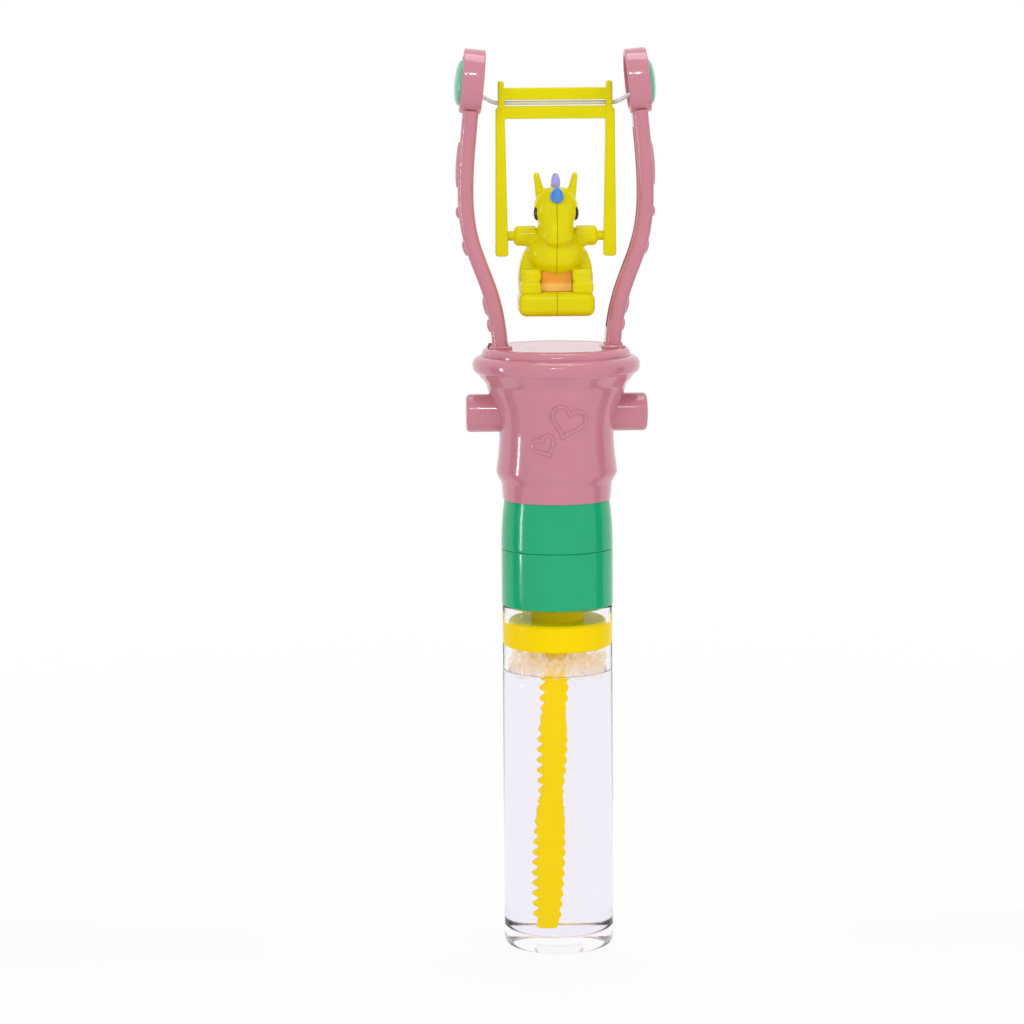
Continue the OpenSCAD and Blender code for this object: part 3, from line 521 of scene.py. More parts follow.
@dataclass
class Graph:
    """Node tree of a material, a group or the world."""

    tree: bpy.types.NodeTree

    @property
    def shader(self) -> bpy.types.Node:
        """Principled shader of a material."""
        return self.tree.nodes["Principled BSDF"]

    def fill(self, made: bpy.types.Node, sockets: Sockets) -> None:
        """Sets or links inputs of a node.

        Args:
            made: The node.
            sockets: Value, or output to link, by the input's name or number.
        """
        for label, value in sockets.items():
            if isinstance(value, Socket):
                self.tree.links.new(value, made.inputs[label])
            else:
                made.inputs[label].default_value = value

    def node(self, kind: str, sockets: Sockets = NONE, **settings: object) -> bpy.types.NodeOutputs:
        """Adds a shader node.

        Args:
            kind: Type of the node.
            sockets: Value, or output to link, by the input's name or number.
            settings: Its other settings.

        Returns:
            The outputs of the node.
        """
        made = self.tree.nodes.new(f"ShaderNode{kind}")
        for label, value in settings.items():
            setattr(made, label, value)
        self.fill(made, sockets)
        return made.outputs

    def surface(self, sockets: Sockets) -> None:
        """Sets or links inputs of the material's shader."""
        self.fill(self.shader, sockets)

    def place(self) -> Socket:
        """Place on the object, as the textures take it."""
        return self.node("TexCoord")["Object"]

    def noise(self, scale: float, detail: float) -> Socket:
        """Noise on the object."""
        return self.node("TexNoise", {"Vector": self.place(), "Scale": scale, "Detail": detail})["Fac"]

    def combined(self, operation: str, one: Socket, other: Socket) -> Socket:
        """Result of a calculation with two values."""
        return self.node("Math", {0: one, 1: other}, operation=operation)[0]

    def mixed(self, share: Socket, one: object, other: object) -> Socket:
        """Mix of two colours."""
        return self.node("Mix", {"Factor": share, "A": one, "B": other}, data_type="RGBA")["Result"]

    def spread(self, value: Socket, start: Pair, end: Pair) -> Socket:
        """Value whose range, from lowest to highest, is mapped to another."""
        return self.node("MapRange", {
            "Value": value, "From Min": start[0], "From Max": start[1], "To Min": end[0], "To Max": end[1],
        })["Result"]

    def bump(self, height: Socket, strength: float, depth: float) -> None:
        """Feeds a height into the material's normal."""
        bump = self.node("Bump", {"Strength": strength, "Distance": depth * MM, "Height": height})
        self.surface({"Normal": bump["Normal"]})

    def moulded(self, colour: Rgb, deep: Rgb, gloss: float, cloud: float) -> Socket:
        """Gives the material a moulded surface.

        Args:
            colour: Its colour.
            deep: Its colour in the clouds.
            gloss: Roughness.
            cloud: Strength of the clouds.

        Returns:
            Height of the mould's fine peel.
        """
        group = self.node("Group", {
            "Colour": linear(colour), "Deep": linear(deep), "Gloss": gloss, "Cloud": cloud,
        }, node_tree=moulded_group())
        self.surface({"Base Color": group["Colour"], "Roughness": group["Roughness"]})
        return group["Height"]

    def seen(self) -> Socket:
        """Value that is 1 for camera, glossy and transmission rays.

        Returns:
            The value.
        """
        rays = self.node("LightPath")
        mirrored = self.combined("MAXIMUM", rays["Is Camera Ray"], rays["Is Glossy Ray"])
        return self.combined("MAXIMUM", mirrored, rays["Is Transmission Ray"])

    def end(self, share: Socket, one: Socket, other: Socket) -> None:
        """Puts a mix of two shaders out.

        Args:
            share: Share of the second.
            one: First shader.
            other: Second shader.
        """
        mix = self.node("MixShader", {"Fac": share, 1: one, 2: other})
        output = next(n for n in self.tree.nodes if n.type.startswith("OUTPUT_"))
        self.fill(output, {"Surface": mix["Shader"]})

    def see_through(self, share: Socket, tint: Triple) -> None:
        """Lets a share of the light pass straight through the material, in a tint."""
        clear = self.node("BsdfTransparent", {"Color": (*tint, 1)})
        self.end(share, self.shader.outputs["BSDF"], clear["BSDF"])


def moulded_group() -> bpy.types.NodeTree:
    """Group of a moulded surface: cloudy colour, uneven gloss, and the mould's fine peel.

    Returns:
        The group, built once, with inputs Colour, Deep, Gloss and Cloud.
    """
    known = bpy.data.node_groups.get("moulded_surface")
    if known:
        return known
    group = bpy.data.node_groups.new("moulded_surface", "ShaderNodeTree")
    for way, label, kind in (
        ("INPUT", "Colour", "Color"), ("INPUT", "Deep", "Color"), ("INPUT", "Gloss", "Float"),
        ("INPUT", "Cloud", "Float"), ("OUTPUT", "Colour", "Color"), ("OUTPUT", "Roughness", "Float"),
        ("OUTPUT", "Height", "Float"),
    ):
        group.interface.new_socket(name=label, in_out=way, socket_type=f"NodeSocket{kind}")
    taken = group.nodes.new("NodeGroupInput").outputs
    given = group.nodes.new("NodeGroupOutput")
    graph = Graph(group)
    cloud = graph.combined("MULTIPLY", graph.noise(95, 3), taken["Cloud"])
    scuff = graph.spread(graph.noise(420, 6), (0.35, 0.75), (0.85, 1.35))
    graph.fill(given, {
        "Colour": graph.mixed(cloud, taken["Colour"], taken["Deep"]),
        "Roughness": graph.combined("MULTIPLY", scuff, taken["Gloss"]),
        "Height": graph.noise(1500, 2),
    })
    return group


@dataclass(frozen=True)
class Finish:
    """Finish of a piece, with a material that is made once."""

    name: str

    def material(self) -> bpy.types.Material:
        """Material of the finish.

        Returns:
            The known one, or a new one.
        """
        made = bpy.data.materials.get(self.name)
        if not made:
            made = bpy.data.materials.new(self.name)
            made.use_nodes = True
            self.dress(Graph(made.node_tree))
        return made

    def dress(self, graph: Graph) -> None:
        """Sets up the material's nodes."""
        raise NotImplementedError


@dataclass(frozen=True)
class Moulded(Finish):
    """Glossy moulded plastic in one colour, or plated metal."""

    colour: Rgb
    deep: Rgb
    gloss: float = 0.16
    cloud: float = 0.5
    coat: float = 0.0
    coat_rough: float = 0.05
    peel: float = 0.12
    peel_depth: float = 0.02
    sheen: float = 0.5
    metal: float = 0.0

    def dress(self, graph: Graph) -> None:
        """Sets up the material's nodes.

        Args:
            graph: Graph of the material.
        """
        height = graph.moulded(self.colour, self.deep, self.gloss, self.cloud)
        graph.surface({
            "Specular IOR Level": self.sheen, "Coat Weight": self.coat, "Coat Roughness": self.coat_rough,
            "Metallic": self.metal,
        })
        graph.bump(height, self.peel, self.peel_depth)


@dataclass(frozen=True)
class Clear(Finish):
    """Clear plastic or liquid, which casts no shadow."""

    tint: Triple
    ior: float
    rough: float = 0.0
    mirror: float = 0.35
    cloud: Pair = (40.0, 2.0)

    def dress(self, graph: Graph) -> None:
        """Sets up the material's nodes.

        Args:
            graph: Graph of the material.
        """
        rough = 0.0
        if self.rough:
            rough = graph.spread(graph.noise(*self.cloud), (0, 1), (self.rough, self.rough * 1.5))
        graph.surface({
            "Base Color": (*self.tint, 1), "Transmission Weight": 1, "IOR": self.ior, "Roughness": rough,
            "Specular Tint": (self.mirror, self.mirror, self.mirror, 1),
        })
        rays = graph.node("LightPath")
        lit = graph.combined("MAXIMUM", rays["Is Shadow Ray"], rays["Is Diffuse Ray"])
        graph.see_through(lit, (1.0, 1.0, 1.0))


@dataclass(frozen=True)
class Froth(Finish):
    """Soap bubbles: clear in the middle of each and denser at its rim."""

    name: str = "soap_froth"
    # The froth's own colour is near white; the warm peach in film, dense and tint is painted light, standing
    # in for yellow light from the stick and plug thrown into the bubbles.
    film: Rgb = (255, 250, 240)
    dense: Rgb = (255, 234, 206)
    gloss: float = 0.2
    cloud: float = 0.8
    rim: float = 0.4
    clear: Pair = (0.92, 0.52)
    tint: Triple = (1.0, 0.985, 0.96)

    def dress(self, graph: Graph) -> None:
        """Sets up the material's nodes.

        Args:
            graph: Graph of the material.
        """
        graph.moulded(self.film, self.dense, self.gloss, self.cloud)
        facing = graph.node("LayerWeight", {"Blend": self.rim})["Facing"]
        clear = graph.spread(facing, (0, 1), self.clear)
        shadow = graph.node("LightPath")["Is Shadow Ray"]
        graph.see_through(graph.combined("MAXIMUM", shadow, clear), self.tint)


@dataclass(frozen=True)
class Thread(Finish):
    """White twisted thread with fine fibres."""

    name: str = "white_thread"
    fibre: Pair = (3500.0, 4.0)
    ramp: tuple[tuple[float, Rgb], ...] = ((0.3, (214, 214, 218)), (0.6, (246, 246, 246)))
    rough: float = 0.8
    sheen: float = 0.3
    fuzz: float = 0.6
    fuzz_depth: float = 0.05

    def dress(self, graph: Graph) -> None:
        """Sets up the material's nodes.

        Args:
            graph: Graph of the material.
        """
        fibre = graph.noise(*self.fibre)
        ramp = graph.tree.nodes.new("ShaderNodeValToRGB")
        graph.fill(ramp, {"Fac": fibre})
        for stop, (position, colour) in zip(ramp.color_ramp.elements, self.ramp):
            stop.position = position
            stop.color = linear(colour)
        graph.surface({
            "Base Color": ramp.outputs["Color"], "Roughness": self.rough, "Sheen Weight": self.sheen,
        })
        graph.bump(fibre, self.fuzz, self.fuzz_depth)


@dataclass(frozen=True)
class WindowGlow(Finish):
    """Orange sheet in the figure's window, painted shade of its hollow inside: deeper shade above, paler
    below.
    """

    name: str = "window_orange"
    # Deep orange above is painted shade under the belly; pale orange below is painted light on the lower
    # inside.
    top: Rgb = (238, 156, 20)
    low: Rgb = (252, 194, 92)
    split_z: float = 201.6
    blur: float = 0.4
    rough: float = 0.3

    def dress(self, graph: Graph) -> None:
        """Sets up the material's nodes.

        Args:
            graph: Graph of the material.
        """
        z = graph.node("SeparateXYZ", {"Vector": graph.place()})["Z"]
        span = ((self.split_z - self.blur) * MM, (self.split_z + self.blur) * MM)
        colour = graph.mixed(graph.spread(z, span, (0, 1)), linear(self.low), linear(self.top))
        graph.surface({"Base Color": colour, "Roughness": self.rough})


@dataclass(frozen=True)
class PaleFloor(Finish):
    """White floor that keeps a soft shadow near the object."""

    name: str = "pale_floor"
    colour: Triple = (0.9, 0.9, 0.91)
    rough: float = 0.6
    white: float = 0.8
    shadow: Pair = (0.2, 0.7)

    def dress(self, graph: Graph) -> None:
        """Sets up the material's nodes.

        Args:
            graph: Graph of the material.
        """
        graph.surface({"Base Color": (*self.colour, 1), "Roughness": self.rough})
        away = graph.node("VectorMath", {0: graph.place()}, operation="LENGTH")["Value"]
        share = graph.combined("MULTIPLY", graph.seen(), graph.spread(away, self.shadow, (self.white, 1)))
        graph.end(share, graph.shader.outputs["BSDF"], graph.node("Emission")["Emission"])


@dataclass(frozen=True)
class DarkCard(Finish):
    """Matt black card."""

    name: str = "dark_card"
    grey: float = 0.02
    rough: float = 0.9

    def dress(self, graph: Graph) -> None:
        """Sets up the material's nodes."""
        graph.surface({"Base Color": (self.grey, self.grey, self.grey, 1), "Roughness": self.rough})


PINK = Moulded("rose_plastic", (206, 132, 146), (190, 116, 131), gloss=0.13, coat=0.3, sheen=0.4)
GREEN = Moulded("leaf_plastic", (24, 174, 120), (10, 156, 100), gloss=0.15, coat=0.15, sheen=0.25)
MINT = Moulded("mint_plastic", (118, 190, 158), (98, 174, 140), gloss=0.17, coat=0.2)
LEMON = Moulded("lemon_plastic", (232, 219, 2), (212, 196, 0), gloss=0.17, coat=0.08, peel=0.04, sheen=0.1)
# Darker yellow for the faces along the seam between the figure's halves: painted shade of the groove.
SEAM_SHADE = Moulded("crease_plastic", (184, 168, 2), (164, 148, 0), gloss=0.4, peel=0.04, sheen=0.05)
SUN = Moulded("sun_plastic", (255, 222, 0), (250, 208, 0), gloss=0.3, sheen=0.06)
SKY = Moulded("sky_plastic", (84, 150, 236), (60, 126, 220), gloss=0.2)
LILAC = Moulded("lilac_plastic", (172, 164, 228), (150, 142, 214), gloss=0.2)
INK = Moulded("ink_paint", (24, 22, 26), (12, 11, 14), gloss=0.12, peel=0.05)
STEEL = Moulded("plated_steel", (196, 198, 202), (150, 152, 158), gloss=0.28, cloud=0.6, peel=0.2, metal=1.0)
THREAD = Thread()
# Painted shade of the hollow behind the figure's window.
WINDOW_SHADE = WindowGlow()
TUBE_CLEAR = Clear("clear_plastic", (0.965, 0.955, 0.98), 1.12, rough=0.012)
SOLUTION = Clear("bubble_liquid", (0.955, 0.945, 0.975), 1.33)
FROTH = Froth()
FLOOR = PaleFloor()
CARD = DarkCard()


def dressed(
    name: str, bm: Shape, finish: Finish, body: str | None,
    nodes: Sequence[str] = (), angle: float = SHARP,
) -> bpy.types.Object:
    """Makes a shape a finished piece of the object.

    Args:
        name: Name of the piece.
        bm: The shape, which is used up.
        finish: Its finish.
        body: Body that it rides on, or None.
        nodes: Solids that it stands for.
        angle: Least angle of an edge, in degrees, that stays sharp.

    Returns:
        The new object.
    """
    made = loose_object(name, bm)
    made.data.shade_smooth()
    made.data.set_sharp_from_angle(angle=math.radians(angle))
    made.data.materials.append(finish.material())
    if nodes:
        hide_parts(*nodes)
    if body:
        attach(made, body)
    log.info("piece %s on %s: %d faces", name, body, len(made.data.polygons))
    return made


@dataclass(frozen=True)
class Lamp:
    """Soft lamp that looks at the middle of the object, in metres and watts."""

    name: str
    place: Triple
    size: Pair
    power: float
    shine: Shine = Shine.LIGHT
    target: Triple = (0.0, 0.0, 0.16)

    def build(self) -> None:
        """Adds the lamp."""
        data = bpy.data.lights.new(self.name, "AREA")
        data.shape = "RECTANGLE"
        data.size, data.size_y = self.size
        data.energy = self.power
        made = linked(self.name, data)
        place = Vector(self.place)
        turn = (Vector(self.target) - place).to_track_quat("-Z", "Y")
        made.matrix_world = Matrix.Translation(place) @ turn.to_matrix().to_4x4()
        made.visible_camera = False
        made.visible_transmission = False
        made.visible_glossy = self.shine is not Shine.LIGHT
        made.visible_diffuse = self.shine is not Shine.GLOSS


LAMPS = (
    Lamp("key", (-0.75, -1.05, 0.95), (0.7, 0.7), 7.5),
    Lamp("fill_right", (0.95, -0.8, 0.55), (0.6, 0.8), 4.5),
    Lamp("back_left", (-0.8, 1.0, 0.8), (0.7, 0.7), 4.0),
    Lamp("back_right", (0.8, 1.0, 0.8), (0.7, 0.7), 4.0),
    Lamp("top", (0.05, 0.1, 1.15), (0.6, 0.5), 3.0, Shine.BOTH),
    Lamp("spark", (0.0375, -0.85, 0.72), (0.075, 0.03), 0.9, Shine.GLOSS),
    Lamp("dot", (-0.11, -0.85, 0.72), (0.06, 0.06), 0.9, Shine.GLOSS),
    Lamp("strip_left", (-0.83, -0.1, 0.15), (0.05, 0.3), 1.2, Shine.GLOSS),
)


@dataclass
class Studio:
    """Camera at the photograph's place, soft lamps, white room and pale floor, in metres."""

    lens: float = 145.3
    sensor: float = 36.0
    clip: Pair = (0.05, 50.0)
    distance: float = 1.230
    height: float = 0.2945
    pitch: float = 7.5
    azimuth: float = -3.0
    aim_left: float = 0.628
    roll: float = -0.36
    floor_half: float = 4.0
    floor_drop: float = 0.0003
    fill: float = 0.42
    fill_tint: Triple = (0.97, 0.98, 1.0)
    card_far: Triple = (0.84, -0.08, 0.0)
    card_end: Triple = (0.846, 0.23, 0.25)
    wedge: tuple[Pair, ...] = ((0.09, -0.0085), (0.84, -0.08), (0.84, 0.23), (0.09, 0.025))
    wedge_z: float = 0.001

    def build(self) -> None:
        """Makes the camera, the room, the floor, the lamps and the dark cards."""
        scene = bpy.context.scene
        scene.view_settings.view_transform = "Standard"
        scene.cycles.max_bounces = 32
        scene.cycles.glossy_bounces = 24
        scene.cycles.transmission_bounces = 24
        scene.cycles.transparent_max_bounces = 32
        self.camera()
        self.room()
        self.floor()
        for lamp in LAMPS:
            lamp.build()
        for side in Side:
            self.card(side)

    def camera(self) -> None:
        """Sets the camera up."""
        data = bpy.data.cameras.new("camera")
        data.lens = self.lens
        data.sensor_width = self.sensor
        data.clip_start, data.clip_end = self.clip
        turn = Matrix.Rotation(math.radians(self.azimuth + self.aim_left), 4, "Z")
        turn = turn @ Matrix.Rotation(math.radians(90 - self.pitch), 4, "X")
        turn = turn @ Matrix.Rotation(math.radians(self.roll), 4, "Z")
        a = math.radians(self.azimuth)
        place = Vector((math.sin(a) * self.distance, -math.cos(a) * self.distance, self.height))
        camera = linked("camera", data)
        camera.matrix_world = Matrix.Translation(place) @ turn
        bpy.context.scene.camera = camera

    def room(self) -> None:
        """White room for the eye, glass and gloss, and an even fill for the rest."""
        world = bpy.data.worlds.new("white_room")
        bpy.context.scene.world = world
        world.use_nodes = True
        graph = Graph(world.node_tree)
        fill = world.node_tree.nodes["Background"]
        graph.fill(fill, {"Color": (*self.fill_tint, 1), "Strength": self.fill})
        white = graph.node("Background", {"Color": (1, 1, 1, 1), "Strength": 1})
        graph.end(graph.seen(), fill.outputs["Background"], white["Background"])

    def floor(self) -> None:
        """Pale floor that keeps a soft shadow."""
        bm = bmesh.new()
        bmesh.ops.create_grid(bm, x_segments=4, y_segments=4, size=self.floor_half)
        bmesh.ops.translate(bm, vec=(0, 0, -self.floor_drop), verts=bm.verts)
        floor = loose_object("floor", bm)
        floor.data.materials.append(FLOOR.material())

    def card(self, side: Side) -> None:
        """Dark card beside the object that only gloss shows.

        Args:
            side: Left or right.
        """
        bm = box([v / MM for v in self.card_far], [v / MM for v in self.card_end])
        bm.faces.new([bm.verts.new((x, y, self.wedge_z)) for x, y in self.wedge])
        card = loose_object(f"flag_{side.word}", on_side(bm, side))
        card.data.materials.append(CARD.material())
        card.visible_camera = False
        card.visible_diffuse = False
        card.visible_transmission = False
        card.visible_shadow = False


@dataclass
class Vessel:
    """Clear tube, the solution in it and the foam on top."""

    radius: float = 16.5
    bore: float = 15.0
    height: float = 104.5
    floor: float = 4.9
    foot_r: float = 3.0
    bore_foot_r: float = 2.25
    rim_r: float = 0.25
    rings: Triple = (20.0, 50.0, 80.0)
    dimple_r: float = 6.75
    dimple: float = 1.0
    wetting: float = 0.1
    level: float = 84.5
    meniscus: float = 0.35
    foam_top: float = 90.6
    bubbles: int = 310
    seed: int = 11
    tries: int = 9000
    large: Pair = (0.7, 1.9)
    small: Pair = (0.45, 1.0)
    sink: float = 0.4
    press: float = 0.2
    crowding: float = 0.86
    stick_room: float = 3.6

    def build(self) -> None:
        """Makes the three pieces."""
        self.tube()
        self.solution()
        self.foam()

    def tube(self) -> None:
        """Tube with a rounded foot and a dimple under it."""
        d, foot, rim, up = self.dimple_r, self.bore_foot_r, self.rim_r, self.height - self.rim_r
        outline = [(0, self.dimple), (d - 0.9, self.dimple)]
        outline += bezier((d - 0.8, self.dimple), (d - 0.2, self.dimple), (d, 0.2), (d + 0.4, 0), 6)
        outline += arc((self.radius - self.foot_r, self.foot_r), self.foot_r, -90, 0, 14)
        outline += arc((self.radius - rim, up), rim, 0, 90, 4)
        outline += arc((self.bore + rim, up), rim, 90, 180, 4)
        outline += [(self.bore, z) for z in reversed(self.rings)]
        outline += arc((self.bore - foot, self.floor + foot), foot, 0, -90, 12)
        outline += [(0, self.floor)]
        dressed("clear_tube", lathe(outline, FINE), TUBE_CLEAR, "tube", ["tube"])

    def solution(self) -> None:
        """Solution that wets the bore, with a curved edge at its level."""
        wet, low, level = self.bore + self.wetting, self.floor - self.wetting, self.level
        foot = self.bore_foot_r
        outline = [(0, low)]
        outline += arc((wet - foot, low + foot), foot, -90, 0, 12)
        outline += [(wet, z) for z in self.rings]
        outline += bezier((wet, level + self.meniscus), (wet - 0.2, level + 0.1), (wet - 0.6, level),
                          (wet - 1.4, level), 8)
        outline += [(0, level)]
        dressed("solution", lathe(outline, FINE), SOLUTION, "tube", ["bubble_solution"])

    def foam(self) -> None:
        """Layer of small bubbles on the solution, the first ones along the wall."""
        draw = random.Random(self.seed)
        bm = bmesh.new()
        placed: list[tuple[Vector, float]] = []
        for _ in range(self.tries):
            r = draw.uniform(*(self.large if len(placed) < self.bubbles // 2 else self.small))
            at_wall = len(placed) < self.bubbles // 6
            reach = self.bore - r + self.press if at_wall else (self.bore - r) * math.sqrt(draw.random())
            turn = draw.uniform(0, 2 * math.pi)
            z = draw.uniform(self.level - self.sink * r, self.foam_top - r)
            spot = Vector((reach * math.cos(turn), reach * math.sin(turn), z))
            crowded = any((spot - p).length < self.crowding * (r + q) for p, q in placed)
            if crowded or reach < self.stick_room:
                continue
            placed.append((spot, r))
            matrix = Matrix.Translation(spot * MM)
            bmesh.ops.create_icosphere(bm, subdivisions=2, radius=r * MM, matrix=matrix)
            if len(placed) == self.bubbles:
                break
        dressed("foam", bm, FROTH, "tube", angle=SMOOTH)


@dataclass
class Dipper:
    """Ribbed wand with its stopper and post, the collar and the neck."""

    plug_r: float = 15.06
    plug_low: float = 91.8
    plug_high: float = 99.9
    plug_edge: float = 0.6
    post_r: float = 8.0
    post_top: float = 112.6
    stick_half: float = 3.3
    stick_t: float = 2.6
    stick_edge_r: float = 0.14
    swells: tuple[Triple, ...] = ((0.15, 60.0, 7.0), (0.4, 26.0, 12.0))
    waists: tuple[Triple, ...] = ((0.45, 70.6, 4.0), (0.5, 45.6, 5.5), (0.2, 8.0, 4.0))
    plain: tuple[Pair, ...] = ((68.3, 4.5), (40.0, 6.5))
    plain_share: float = 0.85
    tip_z: float = 6.0
    tip: tuple[Pair, ...] = ((1.7, 0.0), (2.3, 0.5))
    pitch: float = 3.15
    tooth: float = 1.25
    notch: float = 0.5
    shift: float = -0.5
    lean: float = -2.2
    collar_r: float = 16.75
    collar_low: float = 104.6
    collar_high: float = 121.76
    collar_rings: Triple = (108.0, 113.0, 118.0)
    neck_low: float = 121.8
    neck_high: float = 136.58
    neck_top_r: float = 15.8
    spigot_r: float = 13.5
    spigot_h: float = 4.0
    edge_r: float = 0.7
    seam_share: float = 0.6

    def build(self) -> None:
        """Makes the three pieces."""
        self.wand()
        self.collar()
        self.neck()

    def stick_half_at(self, z: float) -> float:
        """Half the width of the stick at a height: waists between its swellings."""
        waists = sum(size * bell(z, *place) for size, *place in self.waists)
        return self.stick_half + sum(size * bell(z, *place) for size, *place in self.swells) - waists

    def stick_edge(self, deep: float) -> Outline:
        """Edge of the stick, from its tip up, with a tooth at each pitch.

        Args:
            deep: Depth of the notches between the teeth.

        Returns:
            Pairs of distance from the middle and height.
        """
        edge: Outline = [(x, self.tip_z + z) for x, z in self.tip]
        count = int((self.plug_low - self.tip_z) / self.pitch) - 1
        for i in range(1, count):
            z = self.tip_z + i * self.pitch
            half = self.stick_half_at(z)
            cut = half - deep * (1 - self.plain_share * max(bell(z, *place) for place in self.plain))
            tooth = ((cut, 0.0), (half - 0.1, 0.18), (half, 0.35), (half - 0.15, 0.5), (cut, 0.8))
            edge += [(x, z + share * self.pitch) for x, share in tooth]
        edge += [(self.stick_half, self.plug_low - 2.4), (self.stick_half + 0.6, self.plug_low + 0.5)]
        return edge

    def wand(self) -> None:
        """Stick, stopper and post in one moulding."""
        r, e, low, high = self.plug_r, self.plug_edge, self.plug_low, self.plug_high
        plug = lathe([
            (0, low), (r - e, low), (r, low + e), (r, high - e), (r - e, high),
            (self.post_r, high), (self.post_r, self.post_top), (0, self.post_top),
        ])
        right, left = self.stick_edge(self.notch), self.stick_edge(self.tooth)
        stick = plate(right + [(-x, z) for x, z in reversed(left)], self.stick_t)
        soften(stick, self.stick_edge_r, 2)
        span = (low - self.tip_z) * MM
        for v in stick.verts:
            drop = max(0.0, low * MM - v.co.z) / span
            v.co.x += (self.shift + self.lean * drop) * MM
        dressed("wand_moulding", joined([plug, stick]), SUN, "head", ["wand"])

    def collar(self) -> None:
        """Collar with rounded edges."""
        r, e, seam = self.collar_r, self.edge_r, self.edge_r * self.seam_share
        outline = [(0, self.collar_low)]
        outline += arc((r - e, self.collar_low + e), e, -90, 0)
        outline += [(r, z) for z in self.collar_rings]
        outline += arc((r - seam, self.collar_high - seam), seam, 0, 90)
        outline += [(0, self.collar_high)]
        dressed("collar_ring", lathe(outline, FINE), GREEN, "head", ["collar"])

    def neck(self) -> None:
        """Neck that tapers up to the housing."""
        r, e, low, high = self.collar_r, self.edge_r * self.seam_share, self.neck_low, self.neck_high
        rise, top = high - low, high + self.spigot_h
        outline = [(0, low)]
        outline += arc((r - e, low + e), e, -90, 0)
        outline += bezier((r, low + 0.7), (r, low + rise / 2), (self.neck_top_r + 0.475, high - rise / 4),
                          (self.neck_top_r, high), 24)
        outline += [(self.spigot_r, high), (self.spigot_r, top), (0, top)]
        dressed("neck_taper", lathe(outline, FINE), GREEN, "head", ["neck"])


@dataclass(frozen=True)
class Screw:
    """Pan-head screw with a cross recess, along Y."""

    seat: float
    shank_r: float = 1.1
    tip: Pair = (0.5, -7.5)
    taper: float = -6.0
    head_r: float = 2.0
    rim: float = 0.7
    crown_r: float = 0.8
    cross: Pair = (1.1, 0.2)
    cross_floor: float = 0.8
    cross_top: float = 3.0

    def shape(self) -> Shape:
        """Screw with its head on its seat.

        Returns:
            The shape.
        """
        s, h, seat, rim = self.shank_r, self.head_r, self.seat, self.seat + self.rim
        outline = [(0, self.tip[1]), self.tip, (s, self.taper), (s, seat), (h, seat), (h, rim)]
        outline += arc((h - self.crown_r, rim), self.crown_r, 0, 90, 6) + [(0, rim + self.crown_r)]
        low, high = seat + self.cross_floor, seat + self.cross_top
        cross = [box((-a, low, -b), (a, high, b)) for a, b in (self.cross, self.cross[::-1])]
        return carve(along_y(lathe(outline, 32)), cross)


@dataclass(frozen=True)
class Heart:
    """Heart in a raised line on the front of the housing."""

    centre: Pair
    width: float
    tilt: float
    count: int = 72

    def line(self, outer: Outline) -> list[Vector]:
        """Points of the heart on the housing.

        Args:
            outer: Outer side of the housing.

        Returns:
            The points, in metres.
        """
        turn = math.radians(self.tilt)
        points = []
        for i in range(self.count):
            t = 2 * math.pi * i / self.count
            u = 16 * math.sin(t) ** 3 / 32 * self.width
            v = 13 * math.cos(t) - 5 * math.cos(2 * t) - 2 * math.cos(3 * t) - math.cos(4 * t) + 2.5
            v = v / 32 * self.width
            x = self.centre[0] + u * math.cos(turn) - v * math.sin(turn)
            z = self.centre[1] + u * math.sin(turn) + v * math.cos(turn)
            r = radius_at(outer, z)
            points.append(Vector((x, -math.sqrt(r * r - x * x), z)) * MM)
        return points


